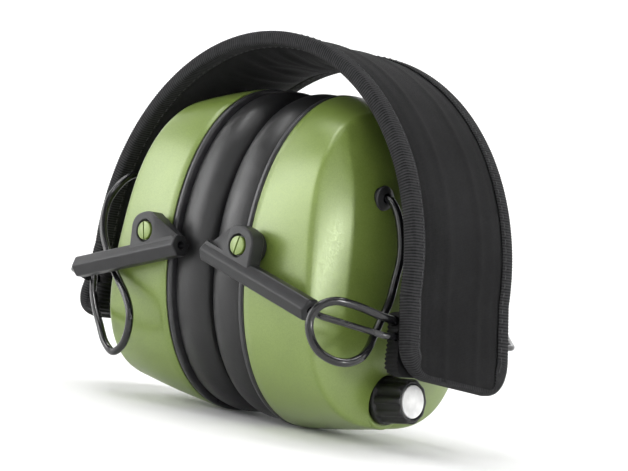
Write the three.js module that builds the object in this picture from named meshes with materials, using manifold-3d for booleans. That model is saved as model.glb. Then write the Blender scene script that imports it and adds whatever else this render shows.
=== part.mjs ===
// Folding electronic earmuff hearing protector, folded with both cups inside its padded headband.
// Millimetres, +Z up, +X towards the wearer's right cup, -Y towards the front of the folded earmuff.
// The model is laid out round the point midway between the two cups, and lifted to stand on Z = 0 at the end.
import * as THREE from 'three';
import { mergeVertices } from 'three/addons/utils/BufferGeometryUtils.js';
import Module from 'manifold-3d';

const wasm = await Module();
wasm.setup();

// ---------- Driving dimensions ----------
const gap = 0.3; // space kept between pieces that touch
const overcut = 10; // how far a cutting tool runs past the surface it cuts

// Cups: ovals in the Y-Z plane, stacked outwards along X
const cupHalfHeight = 57;
const cupHalfWidth = 42.6;
const cupPower = 2.1; // exponent of the oval: 2 is an ellipse, larger is squarer
const cushionFace = 0.3; // X of the cushion's ear side
const ringInner = 13.6; // X of the base ring's cushion side
const ringOuter = 18.4;
const shellRim = 18.7;
const shellApex = 54;
const shellWall = 2.5;
const creaseHalfHeight = 51.4;
const creaseHalfWidth = 41.3;
const creasePower = 2.7;
const creaseX = 44.8; // X of the edge between side wall and domed face, at mid height
const creaseLean = 6.6; // how much further out that edge lies at the bottom, and further in at the top
const domePower = 2.2;
const cupSegments = 40;

// Headband: half an ellipse with two straight legs that splay outwards
const bandHalfSpan = 75.4;
const bandRise = 80.2;
const bandSpringing = -5.7; // Z where the arch meets the legs
const bandEnd = -32.2; // Z of the lower end of the legs
const rightEndSlant = 0.11; // how much lower the right end is cut per unit towards the rear
const legSplay = 0.165; // outward run of a leg per unit of its drop
const bandHalfWidth = 26.4;
const edgeThickness = 5;
const padThickness = 8.5;
const padEnd = -9; // Z where the comfort pad stops, above the hinge block
const liningThickness = 1;
const foamHalfWidth = 18.6;
const foamTop = 3.5; // depth of the foam's outer side, just under the spring
const bindingLip = 6;
const endLip = 1.5;
const bindingThickness = 0.8;
const archSteps = 20;

// Fold hinge, arms and pivots. An arm is laid out in its own frame: u along the arm from the hinge,
// v across it, n square to both, upwards when folded.
const hingeX = 71.3;
const hingeZ = -19.5;
const armRise = THREE.MathUtils.degToRad(15.2);
const wireRadius = 1.05;
const crossFront = 30; // half widths of the wire's cross-piece, which sits further out at the rear
const crossRear = 36.5;
const splayEnd = 13; // u where the wire's legs stop splaying
const tubeV = 48.4; // v of the legs' straight part and of the slider tubes
const tubeStart = 16.6;
const tubeEnd = 67.3;
const wireEnd = 52;
const wireBend = 2.1;
const cableEntry = { x: 69.8, z: -14.6 }; // where a cable goes into a hinge block
const tubeFlats = 7;
const boreRadius = 1.45;
const pinU = 52.8;
const pinN = 7.1;
const earThickness = 5.6;
const earRadius = 6.4;
const pinRadius = 2.2;
const pinHeadRadius = 3.4;
const clipRadius = 3.5;
const pinX = hingeX - pinU * Math.cos(armRise) + pinN * Math.sin(armRise);
const pinZ = hingeZ + pinU * Math.sin(armRise) + pinN * Math.cos(armRise);

// Volume knob on the right cup
const knobX = 57; // a place on the knob's axis, which stands square to the leaning face
const knobY = -2;
const knobZ = -41.2;
const knobLean = Math.atan(creaseLean / creaseHalfHeight);
const knobPocketFloor = 50.3;
const knobStart = 50.7;
const knobEnd = 63.4;
const knobSkirtRadius = 8;
const knobRadius = 7.8;
const knobFlutes = 10;

// Battery door on the left cup's outer face, two AAA cells behind it
const doorHalfWidth = 13.5;
const doorBottom = -44.5;
const doorTop = 5;
const doorInner = 50.5;
const doorOuter = 52.4;
const cellRadius = 5.25;
const cellLength = 44.5;
const cellSpread = 5.7;

const cableRadius = 1.35;
const grommet = { x: 50, y: -16.6, z: 23.2, radius: 3.1, bore: 1.75 };
const microphone = { y: 17, z: 12, radius: 4 };

// ---------- Materials ----------
const look = (color, roughness, metalness = 0) =>
  new THREE.MeshStandardMaterial({ color, roughness, metalness });
const green = look(0x93ab55, 0.35, 0.35);
const blackPlastic = look(0x2b2b2d, 0.5);
const greyPlastic = look(0x4a4b4f, 0.45);
const softVinyl = look(0x2d2d2f, 0.55);
const foam = look(0x1c1c1d, 0.95);
const fabric = look(0x2c2c2e, 0.9);
const tape = look(0x333335, 0.95);
const steel = look(0x9a9c9f, 0.35, 0.9);
const wireSteel = look(0x222224, 0.25, 0.8);
const rubber = look(0x1d1d1f, 0.5);
const whitePlastic = look(0xf2f2f0, 0.4);
const boardGreen = look(0x1f5b34, 0.5);
const cellBlue = look(0x30506f, 0.4, 0.3);

// ---------- Solids ----------
// Joins rings of points, each with the same count, into one closed body with its faces outwards.
function loft(rings, { closed = false, capFaces = null } = {}) {
  const count = rings[0].length;
  const faces = [];
  const bands = closed ? rings.length : rings.length - 1;
  for (let i = 0; i < bands; i += 1) {
    const a = i * count;
    const b = ((i + 1) % rings.length) * count;
    for (let j = 0; j < count; j += 1) {
      const k = (j + 1) % count;
      faces.push([a + j, a + k, b + k], [a + j, b + k, b + j]);
    }
  }
  if (!closed) {
    const fan = Array.from({ length: count - 2 }, (_, j) => [0, j + 1, j + 2]);
    const last = (rings.length - 1) * count;
    for (const [p, q, r] of capFaces ?? fan) {
      faces.push([r, q, p], [last + p, last + q, last + r]);
    }
  }
  const points = rings.flat();
  const triple = new THREE.Vector3();
  let volume = 0;
  for (const [p, q, r] of faces) {
    volume += points[p].dot(triple.crossVectors(points[q], points[r]));
  }
  const index = faces.flatMap(([p, q, r]) => (volume > 0 ? [p, q, r] : [r, q, p]));
  const geometry = new THREE.BufferGeometry().setFromPoints(points);
  geometry.setIndex(index);
  return geometry;
}

// Triangles that fill an outline of [a, b] points, turned the same way as the outline runs.
function fill(outline) {
  const points = outline.map(([a, b]) => new THREE.Vector2(a, b));
  const runs = Math.sign(THREE.ShapeUtils.area(points));
  return THREE.ShapeUtils.triangulateShape([...points], []).map(([p, q, r]) =>
    (Math.sign(THREE.ShapeUtils.area([points[p], points[q], points[r]])) === runs ? [p, q, r] : [r, q, p]));
}

function toSolid(geometry) {
  const bare = geometry.clone();
  bare.deleteAttribute('normal');
  bare.deleteAttribute('uv');
  const merged = mergeVertices(bare, 1e-4);
  return new wasm.Manifold(
    new wasm.Mesh({
      numProp: 3,
      vertProperties: new Float32Array(merged.attributes.position.array),
      triVerts: new Uint32Array(merged.index.array),
    }),
  );
}

function toGeometry(solid) {
  const { vertProperties, triVerts } = solid.getMesh();
  const geometry = new THREE.BufferGeometry();
  geometry.setAttribute('position', new THREE.BufferAttribute(vertProperties, 3));
  geometry.setIndex(new THREE.BufferAttribute(triVerts, 1));
  return geometry;
}

const join = (a, ...others) => toGeometry(others.reduce((sum, b) => sum.add(toSolid(b)), toSolid(a)));
const cut = (a, ...tools) => toGeometry(tools.reduce((rest, b) => rest.subtract(toSolid(b)), toSolid(a)));

// Box between two corners.
function block([x0, y0, z0], [x1, y1, z1]) {
  const box = new THREE.BoxGeometry(Math.abs(x1 - x0), Math.abs(y1 - y0), Math.abs(z1 - z0));
  return box.translate((x0 + x1) / 2, (y0 + y1) / 2, (z0 + z1) / 2);
}

// Solid of revolution about a line along X: profile points are [x, radius], from axis to axis.
function turnedX(profile, y = 0, z = 0, segments = 24) {
  const points = profile.map(([x, radius]) => new THREE.Vector2(radius, x));
  const lathe = new THREE.LatheGeometry(points, segments);
  const body = loftFromLathe(lathe);
  return body.rotateZ(-Math.PI / 2).translate(0, y, z);
}

// Solid of revolution about a line along Y: profile points are [y, radius].
function turnedY(profile, x, z, segments = 16) {
  const points = profile.map(([y, radius]) => new THREE.Vector2(radius, y));
  return loftFromLathe(new THREE.LatheGeometry(points, segments)).translate(x, 0, z);
}

// Merges a lathe's seam and poles and turns its faces outwards.
function loftFromLathe(lathe) {
  const solid = toSolid(lathe);
  if (solid.volume() > 0) {
    return toGeometry(solid);
  }
  const index = lathe.index.array;
  for (let i = 0; i < index.length; i += 3) {
    [index[i], index[i + 2]] = [index[i + 2], index[i]];
  }
  return toGeometry(toSolid(lathe));
}

const tube = (start, end, outer, inner) => [
  [start, inner],
  [start, outer],
  [end, outer],
  [end, inner],
  [start, inner],
];
const rod = (start, end, radius) => [
  [start, 0],
  [start, radius],
  [end, radius],
  [end, 0],
];

// Round tube with closed ends along a curve.
function sweep(curve, radius, steps, sides) {
  const section = new THREE.Shape();
  for (let i = 0; i < sides; i += 1) {
    const angle = ((i + 0.5) / sides) * 2 * Math.PI;
    const place = i === 0 ? 'moveTo' : 'lineTo';
    section[place](radius * Math.cos(angle), radius * Math.sin(angle));
  }
  section.closePath();
  return new THREE.ExtrudeGeometry(section, { steps, extrudePath: curve, curveSegments: 1 });
}

// Point on an oval, at an angle from +Y towards +Z.
function oval(angle, halfWidth, halfHeight, power) {
  const c = Math.cos(angle);
  const s = Math.sin(angle);
  const y = halfWidth * Math.sign(c) * Math.abs(c) ** (2 / power);
  const z = halfHeight * Math.sign(s) * Math.abs(s) ** (2 / power);
  return [y, z];
}

// Half a step of turn puts a level facet, not a corner, at the cup's lowest place.
const cupAngles = Array.from({ length: cupSegments }, (_, i) => ((i + 0.5) / cupSegments) * 2 * Math.PI);
const floorDrop = cupHalfHeight * Math.cos(Math.PI / cupSegments) ** (2 / cupPower);

function ovalRing(x, halfWidth, halfHeight, power, side) {
  return cupAngles.map((angle) => {
    const [y, z] = oval(angle, halfWidth, halfHeight, power);
    return new THREE.Vector3(side * x, y, z);
  });
}

// Oval solid: profile points are [x, inset from the cup's outline].
function ovalSolid(profile, side, closed) {
  const rings = profile.map(([x, inset]) =>
    ovalRing(x, cupHalfWidth - inset, cupHalfHeight - inset, cupPower, side));
  return loft(rings, { closed });
}

// ---------- Cup shell ----------
// The side wall runs from the rim to a leaning crease, the domed face from the crease to the apex.
function shellSkin(inset, side) {
  const wallSteps = [0, 0.5, 1];
  const faceSteps = [0.86, 0.66, 0.42, 0.14];
  const apex = shellApex - inset;
  const wall = wallSteps.map((t) => cupAngles.map((angle) => {
    const [y0, z0] = oval(angle, cupHalfWidth - inset, cupHalfHeight - inset, cupPower);
    const [y1, z1] = oval(angle, creaseHalfWidth - inset, creaseHalfHeight - inset, creasePower);
    const edge = creaseX - creaseLean * (z1 / creaseHalfHeight) - inset * 0.7;
    const bulge = 0.9 * Math.sin(Math.PI * t);
    const x = THREE.MathUtils.lerp(shellRim, edge, t);
    const y = THREE.MathUtils.lerp(y0, y1, t) * (1 + bulge / cupHalfWidth / 2);
    const z = THREE.MathUtils.lerp(z0, z1, t) * (1 + bulge / cupHalfHeight / 2);
    return new THREE.Vector3(side * x, y, z);
  }));
  const crease = wall[wall.length - 1];
  const face = faceSteps.map((t) => crease.map((p) => {
    const edge = side * p.x;
    const x = edge + (apex - edge) * (1 - t ** domePower);
    return new THREE.Vector3(side * x, p.y * t, p.z * t);
  }));
  return [...wall, ...face];
}

function shellBlank(side) {
  const outer = shellSkin(0, side);
  const inner = shellSkin(shellWall, side);
  return loft([...inner.reverse(), ...outer]);
}

function pinHoles(side) {
  return turnedY(rod(-cupHalfWidth - overcut, cupHalfWidth + overcut, pinRadius + gap), side * pinX, pinZ);
}

function boreX(side, start, end, radius, y, z) {
  return turnedX(rod(Math.min(side * start, side * end), Math.max(side * start, side * end), radius), y, z);
}

function grommetHole(side) {
  const { x, y, z, radius } = grommet;
  return boreX(side, x - overcut, x + overcut, radius + gap, y, z);
}

function microphoneHole(side) {
  return boreX(side, shellApex - 2 * overcut, shellApex + overcut, microphone.radius + gap, microphone.y,
    microphone.z);
}

// Puts a piece that is turned about X on the knob's leaning axis.
function onKnobAxis(geometry) {
  return geometry.translate(-knobX, 0, 0).rotateY(-knobLean).translate(knobX, knobY, knobZ);
}

function rightShell() {
  const boss = onKnobAxis(turnedX(rod(46, knobPocketFloor + 0.4, knobSkirtRadius + 1.8)));
  const pocket = onKnobAxis(turnedX(rod(knobPocketFloor, shellApex + overcut, knobSkirtRadius + 0.6)));
  const shaft = onKnobAxis(turnedX(rod(40, shellApex, 3.6)));
  const blank = join(shellBlank(1), boss);
  return cut(blank, pocket, shaft, pinHoles(1), grommetHole(1), microphoneHole(1));
}

function leftShell() {
  const frame = block([-46.4, -16, doorBottom - 1.5], [-50.6, 16, doorTop + 3]);
  const recess = block([-doorInner + gap, -doorHalfWidth - gap, bandEnd - 40],
    [-shellApex - overcut, doorHalfWidth + gap, doorTop + gap]);
  const window = block([-40, -11.6, doorBottom + 2.5], [-shellApex, 11.6, doorTop - 1.5]);
  const blank = join(shellBlank(-1), frame);
  return cut(blank, recess, window, pinHoles(-1), grommetHole(-1), microphoneHole(-1));
}

// ---------- Cup pieces ----------
const group = new THREE.Group();

function add(parent, name, geometry, material) {
  const mesh = new THREE.Mesh(geometry, material);
  mesh.name = name;
  parent.add(mesh);
  return mesh;
}

function cushion(side) {
  const holeWall = 17.5;
  const profile = [
    [cushionFace, 3.4],
    [3.2, 1.7],
    [7, 1.1],
    [11, 1.5],
    [ringInner - gap, 2.6],
    [ringInner - gap, holeWall],
    [9, holeWall + 0.8],
    [4, holeWall],
    [cushionFace, holeWall - 3],
  ];
  return ovalSolid(profile, side, true);
}

function baseRing(side) {
  const openingInset = 20;
  const profile = [
    [ringInner, 0.8],
    [ringInner + 0.8, 0],
    [ringOuter - 0.6, 0],
    [ringOuter, 0.6],
    [ringOuter, openingInset],
    [ringInner, openingInset],
  ];
  return ovalSolid(profile, side, true);
}

function foamInsert(side) {
  return ovalSolid([[ringInner, 20.4], [ringOuter + 3, 20.4]], side, false);
}

function speaker(side) {
  const profile = [
    [22.2, 0],
    [22.2, 17.5],
    [24.2, 18.5],
    [26.5, 18.5],
    [27.5, 9],
    [32, 9],
    [32, 0],
  ];
  return turnedX(profile.map(([x, r]) => [side * x, r]), 0, 6, 28);
}

function grommetPiece(side) {
  const { x, y, z, radius, bore } = grommet;
  const profile = [
    [x - 3.5, bore],
    [x - 3.5, radius],
    [x - 0.4, radius],
    [x + 1.8, radius - 0.7],
    [x + 1.8, bore],
    [x - 3.5, bore],
  ];
  return turnedX(profile.map(([px, r]) => [side * px, r]), y, z, 20);
}

function microphonePiece(side) {
  const start = 45;
  const end = 52.4;
  return turnedX(rod(side * start, side * end, microphone.radius), microphone.y, microphone.z, 20);
}

function buildCup(side, word) {
  const shell = side > 0 ? rightShell() : leftShell();
  add(group, `cup_shell_${word}`, shell, green);
  add(group, `base_ring_${word}`, baseRing(side), blackPlastic);
  add(group, `ear_cushion_${word}`, cushion(side), softVinyl);
  add(group, `foam_insert_${word}`, foamInsert(side), foam);
  add(group, `speaker_${word}`, speaker(side), blackPlastic);
  add(group, `cable_grommet_${word}`, grommetPiece(side), rubber);
  add(group, `microphone_${word}`, microphonePiece(side), blackPlastic);
  for (const [end, sign] of [['front', -1], ['rear', 1]]) {
    const washer = tube(sign * 42.95, sign * 44.9, 5.4, pinRadius + gap);
    add(group, `pivot_washer_${end}_${word}`, turnedY(washer, side * pinX, pinZ), blackPlastic);
  }
}

function buildElectronics() {
  const board = block([33, -24, -30], [34.6, 24, 26]);
  add(group, 'circuit_board', board, boardGreen);
  add(group, 'volume_potentiometer', onKnobAxis(turnedX(rod(36.4, 45.4, 6))), steel);
  add(group, 'volume_shaft', onKnobAxis(turnedX(rod(45.7, 57, 3.2), 0, 0, 20)), steel);
}

// ---------- Volume knob ----------
function knobBody() {
  const outline = new THREE.Shape();
  const steps = knobFlutes * 6;
  for (let i = 0; i < steps; i += 1) {
    const angle = (i / steps) * 2 * Math.PI;
    const wave = Math.cos(angle * knobFlutes);
    const radius = knobRadius - 0.45 + 0.45 * Math.sign(wave) * Math.abs(wave) ** 0.6;
    const place = i === 0 ? 'moveTo' : 'lineTo';
    outline[place](radius * Math.cos(angle), radius * Math.sin(angle));
  }
  outline.closePath();
  const grip = new THREE.ExtrudeGeometry(outline, { depth: knobEnd - knobStart - 2, bevelEnabled: false });
  grip.rotateY(Math.PI / 2).translate(knobStart + 2, 0, 0);
  const skirt = turnedX(rod(knobStart, knobStart + 2.4, knobSkirtRadius), 0, 0, 36);
  const shaftHole = turnedX(rod(knobStart - overcut, 57.4, 3.5));
  const capSeat = turnedX(rod(knobEnd - 1.2, knobEnd + overcut, 5.9), 0, 0, 32);
  return onKnobAxis(cut(join(grip, skirt), shaftHole, capSeat));
}

// ---------- Battery compartment ----------
function batteryDoor() {
  const plate = block([-doorInner, -doorHalfWidth, doorBottom], [-doorOuter, doorHalfWidth, doorTop]);
  const grip = block([-doorOuter + 0.2, -6, doorBottom + 4], [-doorOuter - 0.7, 6, doorBottom + 5.2]);
  const ribs = [0, 2.4, 4.8].map((lift) => grip.clone().translate(0, 0, lift));
  return join(plate, ...ribs);
}

function buildBatteryBox() {
  const midZ = (doorBottom + doorTop) / 2 + 0.2;
  const outer = block([-36, -13, midZ - 25], [-46, 13, midZ + 25]);
  const inner = block([-37.5, -11.6, midZ - 23.2], [-50, 11.6, midZ + 23.2]);
  add(group, 'battery_holder', cut(outer, inner), blackPlastic);
  for (const [name, sign] of [['battery_front', -1], ['battery_rear', 1]]) {
    const cell = new THREE.CylinderGeometry(cellRadius, cellRadius, cellLength, 20).rotateX(Math.PI / 2);
    cell.translate(-43.3, sign * cellSpread, midZ);
    add(group, name, cell, cellBlue);
  }
  add(group, 'battery_door', batteryDoor(), green);
}

// ---------- Headband ----------
// Place on a leg's outer surface at a drop below the arch, with the inward normal.
function legPlace(side, down) {
  const normal = new THREE.Vector2(-1, -legSplay).normalize();
  const x = side * (bandHalfSpan + legSplay * down);
  return { x, z: bandSpringing - down, nx: side * normal.x, nz: normal.y };
}

function belowSurface(place, y, depth) {
  return new THREE.Vector3(place.x + place.nx * depth, y, place.z + place.nz * depth);
}

// Point at the leg of one side: z on its outer surface, depth inwards.
function legPoint(side, y, z, depth) {
  return belowSurface(legPlace(side, bandSpringing - z), y, depth);
}

// Places on the band's outer surface from the right end to the left, with the inward normal at each.
function bandPath(legEnd) {
  const drop = bandSpringing - legEnd;
  const legSteps = Math.max(1, Math.round(drop / 10));
  const leg = (side) =>
    Array.from({ length: legSteps }, (_, i) => legPlace(side, (drop * (i + 1)) / legSteps));
  const arch = [];
  for (let i = 0; i <= archSteps; i += 1) {
    const angle = (i / archSteps) * Math.PI;
    const c = Math.cos(angle);
    const s = Math.sin(angle);
    const normal = new THREE.Vector2(-c / bandHalfSpan, -s / bandRise).normalize();
    arch.push({ x: bandHalfSpan * c, z: bandSpringing + bandRise * s, nx: normal.x, nz: normal.y });
  }
  return [...leg(1).reverse(), ...arch, ...leg(-1)];
}

// Strip along the band: section points are [across, depth below the band's outermost surface].
function bandStrip(section, legEnd, slant = 0) {
  const rings = bandPath(legEnd).map((place) => section.map(([y, depth]) => belowSurface(place, y, depth)));
  rings[0] = section.map(([y, depth]) => legPoint(1, y, legEnd - slant * y, depth));
  return loft(rings, { capFaces: fill(section) });
}

const slab = (halfWidth, top, bottom) => [
  [-halfWidth, top],
  [halfWidth, top],
  [halfWidth, bottom],
  [-halfWidth, bottom],
];

// Crowned strip: flat above, thick in the middle and thin at its edges.
function crowned(halfWidth, top, rim, crown) {
  return [
    [-halfWidth, top],
    [halfWidth, top],
    [halfWidth, rim],
    [halfWidth * 0.86, crown - 1.2],
    [halfWidth * 0.6, crown],
    [-halfWidth * 0.6, crown],
    [-halfWidth * 0.86, crown - 1.2],
    [-halfWidth, rim],
  ];
}

function liningSection() {
  const half = bandHalfWidth - bindingThickness - gap;
  const under = crowned(half - 5, 0, edgeThickness - bindingThickness - gap, padThickness).slice(2);
  const rim = edgeThickness - bindingThickness - gap;
  const lower = [[half, rim], ...under, [-half, rim]];
  const upper = lower.map(([y, depth]) => [y, depth - liningThickness]).reverse();
  return [...lower, ...upper];
}

function bindingSection(sign) {
  const outer = bandHalfWidth;
  const web = bandHalfWidth - bindingThickness;
  const lip = bandHalfWidth - bindingLip;
  const inner = edgeThickness - bindingThickness;
  const half = [
    [lip, 0],
    [outer, 0],
    [outer, edgeThickness],
    [lip, edgeThickness],
    [lip, inner],
    [web, inner],
    [web, bindingThickness],
    [lip, bindingThickness],
  ];
  return half.map(([y, depth]) => [sign * y, depth]);
}

function endBinding(side) {
  const slant = side > 0 ? rightEndSlant : 0;
  const low = bandEnd - bindingThickness - gap;
  const high = bandEnd + endLip;
  const inner = edgeThickness - bindingThickness;
  const section = [
    [0, high],
    [0, low],
    [edgeThickness, low],
    [edgeThickness, high],
    [inner, high],
    [inner, low + bindingThickness],
    [bindingThickness, low + bindingThickness],
    [bindingThickness, high],
  ];
  const rings = [-bandHalfWidth, bandHalfWidth].map((y) =>
    section.map(([depth, z]) => legPoint(side, y, z - slant * y, depth)));
  return loft(rings, { capFaces: fill(section) });
}

// A block as wide as the band, with a tongue that reaches between the bindings.
function hingeBlock(side) {
  const halfWidth = 25.5;
  const top = padEnd - 1.5;
  const bottom = -31.5;
  const near = edgeThickness + gap;
  const far = 11.2;
  const body = [
    [near, top],
    [near, bottom],
    [far - 1.5, bottom],
    [far, bottom + 2],
    [far, top - 2],
    [far - 1.5, top],
  ];
  const tongue = [
    [3.6, top],
    [3.6, -27.5],
    [near + 1, -27.5],
    [near + 1, top],
  ];
  const bar = (section, half) => {
    const rings = [-half, half].map((y) => section.map(([d, z]) => legPoint(side, y, z, d)));
    return loft(rings, { capFaces: fill(section) });
  };
  const solid = join(bar(body, halfWidth), bar(tongue, 19.8));
  const axle = turnedY(rod(-bandHalfWidth, bandHalfWidth, wireRadius + 0.35), side * hingeX, hingeZ);
  const cableHole = turnedY(rod(-bandHalfWidth, -16.8, cableRadius + 0.4), side * cableEntry.x,
    cableEntry.z, 16);
  return cut(solid, axle, cableHole);
}

function buildBand() {
  const coverTop = bindingThickness + gap;
  const inside = bandHalfWidth - bindingThickness - gap;
  const cover = bandStrip(slab(inside, coverTop, coverTop + 1), bandEnd, rightEndSlant);
  add(group, 'headband_cover', cover, fabric);
  add(group, 'headband_spring', bandStrip(slab(9, 2.4, 3.2), -28), steel);
  const padSection = crowned(foamHalfWidth, foamTop, foamTop + 0.6, padThickness - liningThickness - 0.4);
  add(group, 'headband_foam_pad', bandStrip(padSection, padEnd), foam);
  add(group, 'headband_lining', bandStrip(liningSection(), padEnd), fabric);
  for (const [end, sign] of [['front', -1], ['rear', 1]]) {
    const tapeStrip = bandStrip(bindingSection(sign), bandEnd + endLip + gap, rightEndSlant);
    add(group, `binding_${end}`, tapeStrip, tape);
  }
  for (const [word, side] of [['right', 1], ['left', -1]]) {
    add(group, `binding_end_${word}`, endBinding(side), tape);
    add(group, `hinge_block_${word}`, hingeBlock(side), blackPlastic);
  }
}

// ---------- Arms ----------
// Rounds the corners of a route with short curves.
function roundedRoute(corners, radius) {
  const path = new THREE.CurvePath();
  let from = corners[0];
  for (let i = 1; i < corners.length - 1; i += 1) {
    const corner = corners[i];
    const enter = corner.clone().add(corners[i - 1].clone().sub(corner).setLength(radius));
    const leave = corner.clone().add(corners[i + 1].clone().sub(corner).setLength(radius));
    path.add(new THREE.LineCurve3(from, enter));
    path.add(new THREE.QuadraticBezierCurve3(enter, corner, leave));
    from = leave;
  }
  path.add(new THREE.LineCurve3(from, corners[corners.length - 1]));
  return path;
}

// rear is the sign of the arm's v on its rear side.
function yokeWire(rear) {
  const leg = (sign) => [
    new THREE.Vector3(wireEnd, sign * tubeV, 0),
    new THREE.Vector3(splayEnd, sign * tubeV, 0),
    new THREE.Vector3(0, sign * (sign === rear ? crossRear : crossFront), 0),
  ];
  const corners = [...leg(1), ...leg(-1).reverse()];
  return sweep(roundedRoute(corners, wireBend), wireRadius, 70, 8);
}

// Slider: hexagonal tube on the wire's leg with the pivot ear moulded on. outward is the ear's outer side.
function slider(outward) {
  const outerRadius = tubeFlats / Math.sqrt(3);
  const hex = new THREE.CylinderGeometry(outerRadius, outerRadius, tubeEnd - tubeStart, 6);
  hex.rotateY(Math.PI / 6).rotateZ(Math.PI / 2).translate((tubeStart + tubeEnd) / 2, outward * tubeV, 0);
  const ear = new THREE.Shape();
  ear.moveTo(pinU - earRadius - 2, 0);
  ear.absarc(pinU, pinN, earRadius, Math.PI * 0.93, Math.PI * 0.3, true);
  ear.lineTo(tubeEnd, tubeFlats * 0.38);
  ear.lineTo(tubeEnd, 0);
  ear.closePath();
  const plateShape = { depth: earThickness, bevelEnabled: false, curveSegments: 10 };
  const plate = new THREE.ExtrudeGeometry(ear, plateShape);
  plate.rotateX(Math.PI / 2).translate(0, outward * tubeV + earThickness / 2, 0);
  const bore = new THREE.CylinderGeometry(boreRadius, boreRadius, tubeEnd + overcut, 12).rotateZ(Math.PI / 2);
  bore.translate((tubeEnd + overcut) / 2 + tubeStart - overcut / 2, outward * tubeV, 0);
  const outerFace = outward * (tubeV + earThickness / 2);
  const pinBore = turnedY(rod(outward * 40, outward * 60, pinRadius + gap), pinU, pinN);
  const counterbore = turnedY(rod(outerFace - outward * 1.5, outerFace + outward * 5, pinHeadRadius + gap), pinU,
    pinN);
  return cut(join(hex, plate), bore, pinBore, counterbore);
}

// Pivot pin with a slotted head, through ear, washer and shell wall.
function pivotPin(outward) {
  const face = tubeV + earThickness / 2;
  const profile = [
    [37.6, 0],
    [37.6, pinRadius],
    [face - 1.2, pinRadius],
    [face - 1.2, pinHeadRadius],
    [face + 0.1, pinHeadRadius],
    [face + 0.4, pinHeadRadius - 0.4],
    [face + 0.4, 0],
  ];
  const pin = turnedY(profile.map(([y, r]) => [outward * y, r]), pinU, pinN);
  const slot = block([pinU - 0.4, outward * (face - 0.4), pinN - 5],
    [pinU + 0.4, outward * (face + 5), pinN + 5]);
  return cut(pin, slot);
}

function pivotClip(outward) {
  return turnedY(tube(outward * 38.1, outward * 39.3, clipRadius, pinRadius + gap), pinU, pinN);
}

function buildArm(side, word) {
  const c = Math.cos(armRise);
  const s = Math.sin(armRise);
  const along = new THREE.Vector3(-side * c, 0, s);
  const up = new THREE.Vector3(side * s, 0, c);
  const across = new THREE.Vector3().crossVectors(up, along);
  const arm = new THREE.Group();
  arm.position.set(side * hingeX, 0, hingeZ);
  arm.setRotationFromMatrix(new THREE.Matrix4().makeBasis(along, across, up));
  group.add(arm);
  add(arm, `yoke_wire_${word}`, yokeWire(Math.sign(across.y)), wireSteel);
  for (const [end, worldSign] of [['front', -1], ['rear', 1]]) {
    const outward = worldSign * across.y;
    add(arm, `slider_${end}_${word}`, slider(outward), greyPlastic);
    add(arm, `pivot_pin_${end}_${word}`, pivotPin(outward), green);
    add(arm, `pivot_clip_${end}_${word}`, pivotClip(outward), steel);
  }
}

// ---------- Cables ----------
const rightCable = [
  [48.5, -16.6, 23.2],
  [53.5, -16.8, 22.8],
  [57.3, -17.2, 19.5],
  [60.2, -17.4, 13.5],
  [61.8, -17.4, 6],
  [61.5, -18, -2.5],
  [62.4, -20.4, -9.6],
  [63.2, -24.2, -15.6],
  [65.2, -28.9, -20.8],
  [68.6, -34.4, -24],
  [71, -40.6, -27.1],
  [70.4, -46.2, -28.8],
  [68, -50.6, -28.3],
  [64.7, -53.4, -25.9],
  [61.6, -54.4, -21.2],
  [61, -54.2, -16.4],
  [62.4, -52, -12.6],
  [64.4, -48, -10.8],
  [66.4, -43, -11.1],
  [68, -37.5, -12.2],
  [69.2, -32.6, -13.4],
  [69.8, -27.6, -14.2],
  [cableEntry.x, -22.6, cableEntry.z],
  [cableEntry.x, -18.2, cableEntry.z],
];
const leftCable = [
  [-48.5, -16.6, 23.2],
  [-54, -17, 22.7],
  [-57.5, -19.6, 22.3],
  [-58.7, -24.6, 20.6],
  [-58.1, -30.4, 18.1],
  [-56.9, -35.6, 14],
  [-56.3, -39, 9.2],
  [-54.8, -41.2, 3.4],
  [-52.2, -42.3, -2.5],
  [-48.6, -42.5, -8.1],
  [-44.2, -42.9, -13.3],
  [-38.2, -44.6, -17.4],
  [-32.5, -45.8, -21.7],
  [-28.5, -46.4, -27.2],
  [-28.2, -46.2, -33.2],
  [-31.1, -45.2, -38.7],
  [-36, -44.4, -41.7],
  [-42.4, -43, -39.3],
  [-48.6, -41, -34.1],
  [-56, -37.8, -28.5],
  [-62.5, -34.2, -23.4],
  [-66.6, -31.2, -17.4],
  [-69.4, -27.4, -14.8],
  [-cableEntry.x, -22.6, cableEntry.z],
  [-cableEntry.x, -18.2, cableEntry.z],
];

function buildCables() {
  const routes = [['right', rightCable], ['left', leftCable]];
  for (const [word, route] of routes) {
    const curve = new THREE.CatmullRomCurve3(route.map((p) => new THREE.Vector3(...p)), false, 'centripetal');
    add(group, `cable_${word}`, sweep(curve, cableRadius, 50, 8), rubber);
  }
}

buildBand();
buildArm(1, 'right');
buildArm(-1, 'left');
buildCup(1, 'right');
buildCup(-1, 'left');
buildElectronics();
add(group, 'volume_knob', knobBody(), blackPlastic);
const knobCap = onKnobAxis(turnedX(rod(knobEnd - 0.9, knobEnd + 0.3, 5.5), 0, 0, 32));
add(group, 'volume_knob_cap', knobCap, whitePlastic);
buildBatteryBox();
buildCables();
group.position.z = floorDrop;

export default group;
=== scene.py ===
import math
from math import cos, pi, radians, sin

import bmesh
import bpy
from mathutils import Matrix, Vector, noise


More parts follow.
